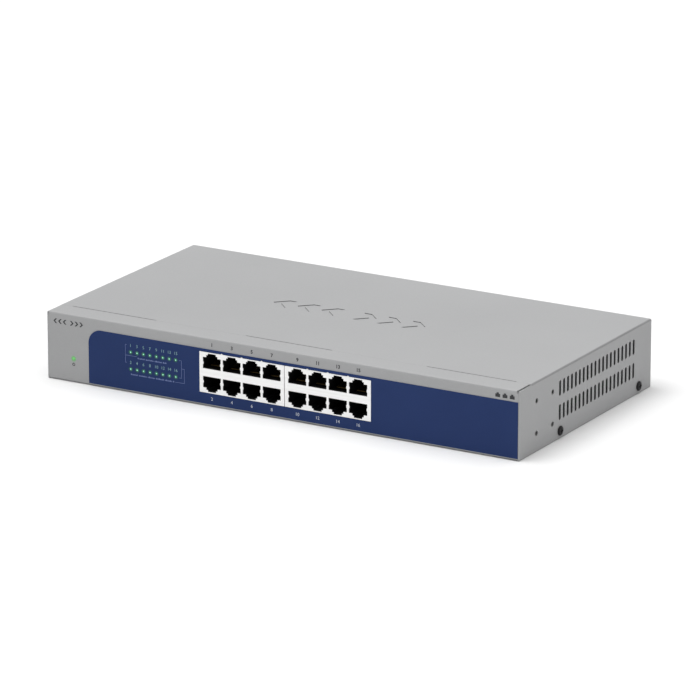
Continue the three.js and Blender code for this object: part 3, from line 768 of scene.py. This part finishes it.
def make_chassis():
    middle = SHEET / 2
    section = folded_sheet([
        (FLANGE_DEPTH, HEIGHT - middle),
        (middle, HEIGHT - middle),
        (middle, middle),
        (DEPTH - middle, middle),
        (DEPTH - middle, TONGUE_TOP - middle),
        (DEPTH - REAR_FLANGE, TONGUE_TOP - middle),
    ])
    chassis = Form().prism("x", section, -CHASSIS_HALF, CHASSIS_HALF).piece("chassis_shell")
    extras = Form()
    for x in TONGUE_XS:
        x0 = x - TONGUE_WIDTH / 2
        x1 = x + TONGUE_WIDTH / 2
        tongue = [
            (FLANGE_DEPTH - SHEET, TONGUE_TOP - SHEET),
            (FLANGE_DEPTH + TONGUE_LENGTH, TONGUE_TOP - SHEET),
            (FLANGE_DEPTH + TONGUE_LENGTH, TONGUE_TOP),
            (FLANGE_DEPTH, TONGUE_TOP),
            (FLANGE_DEPTH, HEIGHT - 0.15),
            (FLANGE_DEPTH - SHEET, HEIGHT - 0.15),
        ]
        extras.prism("x", tongue, x0, x1)
    for side in (-1, 1):
        x0, x1 = sorted((side * (CHASSIS_HALF - SHEET), side * CHASSIS_HALF))
        tab = [(TAB_SPAN[0], middle), (TAB_SPAN[1], middle), (TAB_SPAN[1], TAB_HEIGHT)]
        for y in reversed(SCREW_YS):
            tab += [(y + 1.8, TAB_HEIGHT), *arc(y, SCREW_Z, 1.8, 0, -180, 10), (y - 1.8, TAB_HEIGHT)]
        tab += [(TAB_SPAN[0], TAB_HEIGHT)]
        extras.prism("x", tab, x0, x1)
    for x, y in BOARD_SCREWS:
        extras.prism("z", circle(x, y, 3, 20), middle, BOARD_TOP - BOARD_THICK)
    join(chassis, extras)
    holes = Form()
    holes.prism("y", rectangle(*jack_window(0.15)), -1, SHEET + 1)
    for x, z in (*light_places(), POWER_LIGHT):
        holes.prism("y", circle(x, z, LIGHT_HOLE, 16), -1, SHEET + 1)
    for x, y in BOARD_SCREWS:
        holes.prism("z", circle(x, y, 1.6, 16), 1.6, BOARD_TOP)
    holes.prism("y", rectangle(*around_inlet(INLET_BODY, 0.2)), DEPTH - 2, DEPTH + 1)
    holes.prism("y", rounded(*LOCK_SLOT, 1.2), DEPTH - 2, DEPTH + 1)
    for side in (-1, 1):
        x0, x1 = sorted((side * (INNER_HALF - FLANGE_SIDE_GAPS[side]), side * (INNER_HALF + 1)))
        holes.box(x0, x1, -1, FLANGE_GAP_END, HEIGHT - 2, HEIGHT + 1)
        x0, x1 = sorted((side * (INNER_HALF - 1), side * (INNER_HALF + 1)))
        holes.box(x0, x1, TAB_SPAN[1] - 10, DEPTH + 1, TONGUE_TOP - 1, HEIGHT)
    cut(chassis, holes)
    notches = Form()
    add_bumps(notches, 0.12, -1, SHEET + 1)
    notches.box(INNER_HALF - 1.1, INNER_HALF + 1, -1, 1.2, HEIGHT - 0.9, HEIGHT + 1)
    cut(chassis, notches)
    soften(chassis, 0.08)
    finish_piece(chassis, PAINT, "grey_paint", "chassis_base")


def make_fasteners():
    for name, side, y in case_corners(*SCREW_YS):
        centre = (side * HALF_WIDTH, y, SCREW_Z)
        head = [(1.5, -5.4), (1.5, 0), (2.9, 0), (3.0, 0.15)]
        head += [(3.0, 0.55), (2.75, 0.95), (2.2, 1.2), (1.2, 1.29)]
        screw = Form().turned(centre, (side, 0, 0), head).piece(f"side_screw_{name}")
        for flip in (False, True):
            wide, high = (1.75, 0.38) if flip else (0.38, 1.75)
            low, top = sorted((side * (HALF_WIDTH + 0.35), side * (HALF_WIDTH + 1.6)))
            groove = rectangle(y - wide, y + wide, SCREW_Z - high, SCREW_Z + high)
            cut(screw, Form().prism("x", groove, low, top))
        soften(screw, 0.05)
        finish_piece(screw, BLACK_OXIDE, "black_screw", f"cover_screw_{name}", body="cover")
        x0, x1 = sorted((side * (CHASSIS_HALF - SHEET - 0.1), side * (CHASSIS_HALF - SHEET - 2.5)))
        nut = Form().prism("x", circle(y, SCREW_Z, 3.1, 6), x0, x1).piece(f"side_nut_{name}")
        cut(nut, Form().prism("x", circle(y, SCREW_Z, 1.65, 20), x0 - 1, x1 + 1))
        soften(nut, 0.15)
        finish_piece(nut, ZINC, "zinc_steel", f"captive_nut_{name}", body="cover")


def make_feet():
    profile = [(5.6, -FOOT_HEIGHT), (5.85, -FOOT_HEIGHT + 0.08), (6, -FOOT_HEIGHT + 0.25), (6, -0.02)]
    for name, side, y in case_corners(20, DEPTH - 20):
        foot = Form().turned((side * 140, y, 0), (0, 0, 1), profile, 48).piece(f"foot_{name}")
        dish = Form().turned((side * 140, y, -FOOT_HEIGHT), (0, 0, 1), [(2.6, -0.3), (2.3, 0.2)], 32)
        cut(foot, dish)
        shade(foot)
        finish_piece(foot, RUBBER, "foot_rubber", f"rubber_foot_{name}")


# -------- front print and lights


def make_film():
    outline = [(FILM_LEFT, FILM_BOTTOM), (CHASSIS_HALF, FILM_BOTTOM), (CHASSIS_HALF, FILM_TOP)]
    outline += arc(FILM_LEFT + FILM_RADIUS, FILM_TOP - FILM_RADIUS, FILM_RADIUS, 90, 180, 24)
    film = Form().prism("y", outline, FILM_FACE, 0).piece("blue_front_film")
    holes = Form().prism("y", rectangle(*jack_window(0.15)), -1, 1)
    for x, z in light_places():
        holes.prism("y", circle(x, z, LIGHT_HOLE, 16), -1, 1)
    cut(film, holes)
    notches = Form()
    add_bumps(notches, 0.12, -1, 1)
    cut(film, notches)
    soften(film, 0.04, 1)
    finish_piece(film, FILM, "blue_print", "front_film")


def bar(form, x0, x1, z0, z1):
    form.box(min(x0, x1), max(x0, x1), PRINT_FACE, FILM_FACE, z0, z1)


def bracket(form, x, reach, low, high):
    """An upright line at x with an arm towards reach at each end."""
    bar(form, x, x + PRINT_LINE, low, high)
    bar(form, x, reach, high - PRINT_LINE, high)
    bar(form, x, reach, low, low + PRINT_LINE)


def dashes(form, x0, x1, z, height):
    """A row of short dashes where a line of small print would be."""
    lengths = (0.6, 0.4, 0.8, 0.5, 0.7, 0.4, 0.9)
    tall = (1.0, 0.7, 0.7, 1.0, 0.7)
    x = x0
    i = 0
    while x < x1:
        end = min(x + lengths[i % len(lengths)], x1)
        bar(form, x, end, z - height / 2, z + height * (tall[i % len(tall)] - 0.5))
        x = end + (0.9 if i % 6 == 5 else 0.3)
        i += 1


def make_print():
    upper = [numeral(str(n), x, 38.7, 2.15, 0, -0.04, -0.10) for n, x, row in ports() if row > 0]
    finish_piece(merge("upper_port_numbers", upper), DARK_PRINT, "grey_paint")
    lower = [numeral(str(n), x, 4.7, 2.0) for n, x, row in ports() if row < 0]
    finish_piece(merge("lower_port_numbers", lower), WHITE_PRINT, "blue_print")
    small = []
    for i, x in enumerate(LIGHT_XS):
        small.append(numeral(str(2 * i + 1), x, 29.6, 1.9, thinned=0.01))
        small.append(numeral(str(2 * i + 2), x, 18.9, 1.9, thinned=0.01))
    finish_piece(merge("status_light_numbers", small), DIM_PRINT, "blue_print")
    lines = Form()
    bracket(lines, -107.6, -106.6, 18.6, 30.1)
    bracket(lines, -67.6, -69.2, 14.5, 25.7)
    bar(lines, -65.6, -65.6 + PRINT_LINE, 11.4, 20.6)
    for x0, x1, z in ((-107.6, -99.4, 23.2), (-67.6, -65.6, 20.4), (-72.0, -65.6, 11.4)):
        bar(lines, x0, x1, z, z + PRINT_LINE)
    dashes(lines, -98.7, -78.3, 22.4, 0.9)
    dashes(lines, -103.7, -72.9, 11.6, 0.9)
    finish_piece(lines.piece("status_light_brackets"), LEGEND_PRINT, "blue_print")
    power = Form()
    ring = arc(-145.2, 11.3, 1.05, 125, 415, 20) + arc(-145.2, 11.3, 0.65, 415, 125, 20)
    power.prism("y", ring, -0.04, 0)
    power.box(-145.4, -145.0, -0.04, 0, 11.4, 12.5)
    finish_piece(power.piece("power_symbol"), DARK_PRINT, "grey_paint")
    mark = Form()
    for outline in chevrons(-148.8, 37.3, 0.2):
        mark.prism("y", outline, -0.04, 0)
    finish_piece(mark.piece("front_chevron_mark"), DARK_PRINT, "grey_paint")
    icon = Form()
    half = [(1.6, 0), (1.6, 2.0), (0.75, 2.0), (0.75, 2.8)]
    for x in (149.5, 154.3, 159.1):
        jack = [(x + dx, 37.2 + dz) for dx, dz in half] + [(x - dx, 37.2 + dz) for dx, dz in reversed(half)]
        icon.prism("y", jack, -0.04, 0)
    finish_piece(icon.piece("front_jack_icons"), DARK_PRINT, "grey_paint")


def light_pipe(name, places, x_span, top, core, rim):
    """A clear block behind the panel with a lit rod to each hole, brightest in the middle of its tip."""
    body = Form().box(*x_span, 4, 6.5, BOARD_TOP, top).piece(name)
    soften(body, 0.2)
    rods = Form()
    for x, z in places:
        tip = [(0.4, 0.28), (0.55, 0.24), (LIGHT_PIN - 0.08, 0.14), (LIGHT_PIN, -0.05), (LIGHT_PIN, -4.2)]
        rods.turned((x, 0, z), (0, -1, 0), tip, 20)
    whole = merge(name + "_lit", [body, rods.piece("rods")])
    for material in (CLEAR_PIPE, core, rim):
        whole.data.materials.append(material)
    for face in whole.data.polygons:
        spot = (face.center - ORIGIN) / MM
        if spot.y < 3.9:
            reach = min(((spot.x - x) ** 2 + (spot.z - z) ** 2) ** 0.5 for x, z in places)
            face.material_index = 1 if reach < 0.3 else 2
    shade(whole)
    return whole


def glow_rings(places, outer, back, face):
    form = Form()
    for x, z in places:
        ring = arc(x, z, outer, 0, 360, 24) + arc(x, z, LIGHT_HOLE, 360, 0, 24)
        form.prism("y", ring, face, back)
    return form


def make_lights():
    # The rings round the status lights are painted glow; they give off no light of their own.
    rings = glow_rings(light_places(), 1.4, FILM_FACE, PRINT_FACE)
    finish_piece(rings.piece("status_light_glow_rings"), PAINTED_GREEN_GLOW, "light_pipe")
    glow = glow_rings([POWER_LIGHT], 2.3, 0, -0.03)
    finish_piece(glow.piece("power_light_ring"), POWER_GLOW, "light_pipe")
    span = (LIGHT_XS[0] - 2, LIGHT_XS[-1] + 2)
    status = light_pipe("status_pipe", light_places(), span, 27.5, GREEN_LENS, GREEN_RIM)
    finish_piece(status, CLEAR_PIPE, "light_pipe", "status_light_pipes")
    x = POWER_LIGHT[0]
    power = light_pipe("power_pipe", [POWER_LIGHT], (x - 2, x + 2), 17, POWER_LENS, POWER_LENS)
    finish_piece(power, CLEAR_PIPE, "light_pipe", "power_light_pipe")


# -------- jacks


def make_shield(name, side):
    half = JACK_WIDTH / 2
    x = block_centre(side)
    shell = Form().box(x - half, x + half, PRINT_FACE, JACK_DEPTH + 0.4, JACK_BOTTOM, JACK_TOP)
    shield = shell.piece(f"shield_{name}")
    inner = half - JACK_SKIN
    hollow = Form().box(x - inner, x + inner, 0, JACK_DEPTH + 1, JACK_BOTTOM - 1, JACK_TOP - JACK_SKIN)
    cut(shield, hollow)
    mouths = Form()
    for cx, row in jacks(side):
        mouths.prism("y", socket_mouth(cx, row, 0.25, springs=True), -1, 1)
    cut(shield, mouths)
    bumps = Form()
    for bx, bz in spring_bumps(side):
        bumps.prism("y", arc(bx, bz - 0.4, 0.9, 0, 180, 8), PRINT_FACE, 2.5)
    join(shield, bumps)
    soften(shield, 0.05)
    finish_piece(shield, TIN, "shield_metal", f"jack_shield_{name}")


def make_housing(name, side):
    half = JACK_WIDTH / 2 - JACK_SKIN - 0.05
    x = block_centre(side)
    housing = Form().box(x - half, x + half, 0.05, JACK_DEPTH, JACK_BOTTOM, JACK_TOP - JACK_SKIN - 0.05)
    housing = housing.piece(f"housing_{name}")
    sockets = Form()
    for cx, row in jacks(side):
        sockets.prism("y", socket_mouth(cx, row), -1, SOCKET_DEPTH)
    cut(housing, sockets)
    combs = Form()
    for cx, row in jacks(side):
        z0, z1 = sorted((JACK_MIDDLE + row * 1.9, JACK_MIDDLE + row * 2.6))
        for i in range(8):
            wx = cx + (i - 3.5) * CONTACT["pitch"]
            combs.box(wx - 0.3, wx + 0.3, 4.5, 13.5, z0, z1)
    cut(housing, combs)
    soften(housing, 0.08)
    finish_piece(housing, BLACK_PLASTIC, "black_plastic", f"jack_housing_{name}")


def contact_mesh():
    """Eight sprung wires and their carrier, about the pivot, with the wires running back along +Y."""
    parts = [Form().box(-4.0, 4.0, -0.5, 0.5, -0.16, 0.16).piece("carrier")]
    soften(parts[0], 0.06)
    for i in range(8):
        x = (i - 3.5) * CONTACT["pitch"]
        end = CONTACT["length"]
        path = [(x, -0.45, -0.3), (x, -0.3, 0.02), (x, 0.6, 0.05), (x, 4, 0.02)]
        path += [(x, end - 0.5, 0.05), (x, end - 0.1, -0.1)]
        parts.append(wire("spring", path, 0.19, 1, 4))
    whole = merge("contact_comb", parts)
    whole.data.transform(Matrix.Translation(-ORIGIN))
    shade(whole, 40)
    data = whole.data
    bpy.data.objects.remove(whole, do_unlink=True)
    return data


def make_jacks():
    for name, side in SIDES:
        make_shield(name, side)
        make_housing(name, side)
    comb = contact_mesh()
    comb.materials.append(SHADED_GOLD)
    for number, x, row in ports():
        node = f"port_{number:02d}_contacts"
        contacts = new_object(f"spring_contacts_{number:02d}", comb.copy())
        z = JACK_MIDDLE + row * (SOCKET["floor"] + CONTACT["lift"])
        turn = Matrix.Rotation(row * CONTACT["rest"], 4, "X")
        if row < 0:
            turn = turn @ Matrix.Rotation(pi, 4, "Y")
        contacts.matrix_world = Matrix.Translation(case_point(x, CONTACT["y"], z)) @ turn
        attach(contacts, node)
        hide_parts(node)


# -------- boards


def board_plate(name, board, replaced):
    plate = Form().prism("z", board["outline"], BOARD_TOP - BOARD_THICK, BOARD_TOP).piece(name)
    holes = Form()
    for x, y in board["screws"]:
        holes.prism("z", circle(x, y, 1.6, 20), 0, 20)
    cut(plate, holes)
    soften(plate, 0.1)
    finish_piece(plate, BOARD, "board_green", replaced)


def board_screw(name, x, y, replaced):
    head = [(1.4, -4.4), (1.4, 0), (2.55, 0), (2.6, 0.4), (2.35, 1.1), (1.7, 1.5), (0.8, 1.6)]
    screw = Form().turned((x, y, BOARD_TOP), (0, 0, 1), head).piece(name)
    for wide, deep in ((1.4, 0.32), (0.32, 1.4)):
        cut(screw, Form().box(x - wide, x + wide, y - deep, y + deep, BOARD_TOP + 0.6, BOARD_TOP + 2))
    soften(screw, 0.05)
    finish_piece(screw, ZINC, "zinc_steel", replaced)


def boxes_piece(name, boxes, material, slot, edge=0.12):
    form = Form()
    for x0, x1, y0, y1, height in boxes:
        form.box(x0, x1, y0, y1, BOARD_TOP + 0.02, BOARD_TOP + height)
    softened(form, name, edge, material, slot, segments=1)


def round_cans(name, places, profile, steps):
    """Small capacitors in shrunk sleeves, standing on a board."""
    cans = Form()
    for x, y in places:
        cans.turned((x, y, BOARD_TOP), (0, 0, 1), profile, steps)
    made = cans.piece(name)
    shade(made)
    finish_piece(made, SLEEVE, "capacitor_sleeve")


def make_main_board():
    board_plate("main_circuit_board", MAIN_BOARD, "main_board")
    names = ("left_front", "right_front", "left_rear", "right_rear")
    for name, (x, y) in zip(names, MAIN_BOARD["screws"]):
        board_screw(f"board_screw_{name}", x, y, f"main_board_screw_{name}")
    modules = [(x - 7.5, x + 7.5, 25.5, 31, 3.2) for x in (-46, -28, -10, 18, 36, 54)]
    modules += [(-60, -50, 50, 60, 1.6), (40, 48, 50, 58, 1.5), (-96, -84, 30, 42, 1.8), (56, 62, 64, 74, 2)]
    modules += [(96, 104, 120, 128, 1.6), (0, 12, 124, 130, 1.6)]
    modules += [(118, 124, 60, 72, 2), (-30, -22, 120, 128, 1.5)]
    boxes_piece("main_board_packages", modules, CHIP, "chip_plastic")
    passives = []
    for i in range(11):
        passives.append((-12 + 3 * i, -11 + 3 * i, 36, 38, 0.8))
        passives.append((-20, -18, 42 + 2.5 * i, 43 + 2.5 * i, 0.8))
        passives.append((27, 29, 42 + 2.5 * i, 43 + 2.5 * i, 0.8))
        passives.append((-120 + 4 * i, -119 + 4 * i, 12, 14, 0.7))
        passives.append((-118 + 5 * i, -116 + 5 * i, 60, 61, 0.7))
    boxes_piece("main_board_ceramics", passives, CERAMIC, "winding_tape", 0.06)
    crystals = [(-32, -21, 62, 66.5, 3.4), (-40, -34, 78, 84, 3.6)]
    boxes_piece("main_board_oscillator", crystals, ZINC, "zinc_steel", 0.4)
    can = [(3.0, 0.02), (3.15, 0.3), (3.15, 1.0), (2.9, 1.2), (3.15, 1.4), (3.15, 8.6), (2.8, 8.9)]
    round_cans("main_board_capacitors", ((-90, 84), (-100, 84), (-64, 88), (46, 84)), can, 28)
    chip = Form().box(-7, 17, 43, 67, BOARD_TOP + 0.15, BOARD_TOP + 1.8)
    softened(chip, "switch_chip_package", 0.2, CHIP, "chip_plastic", "switch_chip")
    leads = Form()
    for i in range(32):
        step = 44.2 + 0.7 * i
        along = step - 50
        for side in (-1, 1):
            x0, x1 = sorted((5 + side * 12, 5 + side * 13.6))
            leads.box(x0, x1, step - 0.15, step + 0.15, BOARD_TOP + 0.02, BOARD_TOP + 0.5)
            y0, y1 = sorted((55 + side * 12, 55 + side * 13.6))
            leads.box(along - 0.15, along + 0.15, y0, y1, BOARD_TOP + 0.02, BOARD_TOP + 0.5)
    finish_piece(leads.piece("switch_chip_leads"), ZINC, "zinc_steel")
    fins = []
    pitch = (46 - 1.4) / 8
    for i in range(8, -1, -1):
        x = 5 - 23 + i * pitch
        fins += arc(x + 0.7, 15.3, 0.7, 0, 180, 6)
        if i > 0:
            fins += [(x, 3.2), (x - pitch + 1.4, 3.2)]
    base = BOARD_TOP + 1.8
    section = [(5 - 23, 0), (5 + 23, 0)] + fins
    sink = Form().prism("y", [(x, z + base) for x, z in section], 32, 78)
    softened(sink, "finned_heat_sink", 0.12, ALUMINIUM, "sink_aluminium", "chip_heat_sink")


def make_power_board():
    board_plate("power_circuit_board", POWER_BOARD, "power_board")
    for name, (x, y) in zip(("left", "right"), POWER_BOARD["screws"]):
        board_screw(f"supply_screw_{name}", x, y, f"power_board_screw_{name}")
    top = BOARD_TOP
    core = Form().box(-96, -68, 122, 134, top + 1, top + 20).piece("transformer_core")
    windows = Form().box(-91.5, -72.5, 121, 135, top + 4.5, top + 16.5)
    cut(core, windows)
    soften(core, 0.4)
    finish_piece(core, FERRITE, "choke_ferrite", "power_transformer")
    coil = rounded(-91.2, -72.8, 118.2, 137.8, 4)
    winding = Form().prism("z", coil, top + 1.5, top + 16.2)
    softened(winding, "transformer_winding", 0.5, TAPE, "winding_tape", segments=3)
    can = [(7.2, 0.02), (7.9, 0.5), (7.9, 2.6), (7.4, 3.1), (7.9, 3.6), (7.9, 23.2), (7.5, 23.7), (7.0, 23.8)]
    bulk = Form().turned((-106, 126, top), (0, 0, 1), can, 48).piece("bulk_capacitor_can")
    cross = Form().box(-111, -101, 125.8, 126.2, top + 23.5, top + 25)
    cut(bulk, cross)
    soften(bulk, 0.15)
    finish_piece(bulk, SLEEVE, "capacitor_sleeve", "bulk_capacitor")
    angle = folded_sheet([(-112, 0.75), (-86.75, 0.75), (-86.75, 22)], 1.5, 0.8)
    sink = Form().prism("y", [(x, z + top) for x, z in angle], 107, 116)
    softened(sink, "supply_heat_sink", 0.15, ALUMINIUM, "sink_aluminium", "power_heat_sink")
    choke = Form().box(-142, -124, 116, 132, top, top + 2).piece("choke_body")
    join(choke, Form().prism("y", rounded(-141.5, -124.5, top + 1, top + 17, 5), 119, 129))
    soften(choke, 0.4)
    finish_piece(choke, FERRITE, "choke_ferrite", "mains_choke")
    turns = Form()
    for i in range(7):
        x = -138.6 + 1.9 * i
        turns.box(x - 0.55, x + 0.55, 117.4, 130.6, top + 3.2, top + 15.6)
    softened(turns, "choke_windings", 0.5, COPPER, "contact_gold", segments=3)
    boxes_piece("supply_film_capacitor", [(-145, -132, 137, 143, 11)], TAPE, "winding_tape", 0.5)
    boxes_piece("supply_fuse", [(-146, -140, 148, 156, 7)], CREAM, "board_green", 0.4)
    packages = [(-100, -88, 142, 146, 13), (-104, -95, 104.5, 106.6, 14)]
    boxes_piece("supply_rectifier", packages, CHIP, "chip_plastic", 0.3)
    left = INSULATOR["x"]
    thick = INSULATOR["thickness"]
    fold = folded_sheet([
        (left + INSULATOR["foot"], SHEET + thick / 2),
        (left + thick / 2, SHEET + thick / 2),
        (left + thick / 2, INSULATOR["top"]),
    ], thick, 0.4)
    sheet = Form().prism("y", fold, *INSULATOR["y"])
    softened(sheet, "insulating_film", 0.05, FISH_PAPER, "insulator_film", "insulator_sheet", segments=1)
    can = [(3.6, 0.02), (3.95, 0.4), (3.95, 1.6), (3.6, 1.9), (3.95, 2.2), (3.95, 14.4), (3.5, 14.8)]
    round_cans("supply_output_capacitors", ((-68, 142), (-68, 152), (-78, 150)), can, 32)


# -------- mains inlet and leads


def inlet_mouth(chamfer):
    left, right, low, high = around_inlet(INLET_MOUTH)
    return [
        (left, low), (right, low), (right, high - chamfer),
        (right - chamfer, high), (left + chamfer, high), (left, high - chamfer),
    ]


def make_inlet():
    back = INLET.y
    rim = rounded(*around_inlet(INLET_RIM), 1.6)
    inlet = Form().prism("y", rim, DEPTH, back).piece("inlet_moulding")
    body = rectangle(*around_inlet(INLET_BODY))
    join(inlet, Form().prism("y", body, back - INLET_DEPTH, back - 0.2))
    cut(inlet, Form().prism("y", inlet_mouth(4), back - INLET_SOCKET, back + 1))
    holes = Form()
    for dx, dz in INLET_PINS.values():
        x, z = INLET.x + dx, INLET.z + dz
        holes.box(x - 1.05, x + 1.05, back - INLET_DEPTH - 1, back - 10, z - 2.05, z + 2.05)
    cut(inlet, holes)
    soften(inlet, 0.25)
    finish_piece(inlet, BLACK_PLASTIC, "black_plastic", "mains_inlet")
    tab_end = back - INLET_DEPTH - 5
    for name, (dx, dz) in INLET_PINS.items():
        x, z = INLET.x + dx, INLET.z + dz
        pin = Form().box(x - 1, x + 1, tab_end, back - 5.5, z - 2, z + 2)
        softened(pin, f"{name}_pin", 0.4, TIN, "shield_metal", f"inlet_pin_{name}", segments=3)
    make_leads(tab_end)


def make_leads(tab_end):
    low = BOARD_TOP + 0.4
    start = tab_end - 0.4
    for name, hue in (("line", "brown"), ("neutral", "blue")):
        dx, dz = INLET_PINS[name]
        x, z = INLET.x + dx, INLET.z + dz
        path = [(x, start, z), (x, start - 4, z), (x, start - 6, z - 5), (x, start - 6, low)]
        lead = wire(f"{name}_wire", path, 1.1)
        finish_piece(lead, LEADS[name], f"lead_{hue}", f"{name}_lead")
    x, z = INLET.x, INLET.z + 2
    path = [(x, start, z), (x, start - 2.5, z + 1), (x + 12, start - 4, 30), (x + 46, start, 28)]
    path += [(x + 58, start, 16), (x + 59, start, SHEET + 0.4)]
    finish_piece(wire("earth_wire", path, 1.1), LEADS["earth"], "lead_green", "earth_lead")
    offsets = {"red": -0.9, "black": 0.9}
    replaced = ["dc_harness"]
    for colour, dx in offsets.items():
        out = -78 + dx
        path = [(out, 112, low), (out, 110, 16), (-78 - dx, 101, 20), (out, 92, 16), (out, 90, low)]
        lead = wire(f"supply_wire_{colour}", path, 0.85)
        finish_piece(lead, LEADS[colour], "lead_red", *replaced)
        replaced = []
    sockets = Form()
    for y in (90, 112):
        sockets.box(-82, -74, y - 2.5, y + 2.5, BOARD_TOP + 0.02, BOARD_TOP + 5.5)
    softened(sockets, "harness_connectors", 0.25, CREAM, "winding_tape")


# -------- studio


def make_studio():
    floor_data = bpy.data.meshes.new("floor")
    reach = 6
    floor_data.from_pydata(
        [(-reach, -reach, 0), (reach, -reach, 0), (reach, reach, 0), (-reach, reach, 0)], [], [(0, 1, 2, 3)])
    floor = new_object("floor", floor_data)
    look = Look("pale_floor")
    look.colour(look.ramp(look.noise(3, 2), [(0.3, (0.80, 0.80, 0.80)), (0.7, (0.82, 0.82, 0.82))]))
    look.set(Roughness=0.9, Specular_IOR_Level=0.1)
    floor_data.materials.append(look.material)
    world = bpy.data.worlds.new("studio")
    world.use_nodes = True
    world.node_tree.nodes["Background"].inputs["Color"].default_value = (1, 1, 1, 1)
    world.node_tree.nodes["Background"].inputs["Strength"].default_value = 0.45
    bpy.context.scene.world = world
    for name, place, spread, strength in (
        ("key_light", (-0.75, -0.4, 2.0), 40, 1.6),
        ("top_light", (0.25, 0.1, 2.0), 70, 1.4),
    ):
        data = bpy.data.lights.new(name, "SUN")
        data.angle = radians(spread)
        data.energy = strength
        lamp = new_object(name, data)
        lamp.location = place
        lamp.rotation_euler = (-Vector(place)).to_track_quat("-Z", "Y").to_euler()


def make_camera():
    azimuth = radians(30.06)
    elevation = radians(17.07)
    distance = 3.143
    target = case_point(49.92, 0, 50.49)
    back = Vector((sin(azimuth) * cos(elevation), -cos(azimuth) * cos(elevation), sin(elevation)))
    data = bpy.data.cameras.new("camera")
    data.lens = 273.2
    data.sensor_width = 36
    data.clip_end = 50
    camera = new_object("camera", data)
    camera.location = target + back * distance
    camera.rotation_euler = (-back).to_track_quat("-Z", "Y").to_euler()
    bpy.context.scene.camera = camera


make_camera()
make_studio()
make_cover()
make_chassis()
make_fasteners()
make_feet()
make_film()
make_print()
make_lights()
make_jacks()
make_main_board()
make_power_board()
make_inlet()
bpy.context.scene.view_settings.view_transform = "Standard"

bpy.context.view_layer.update()
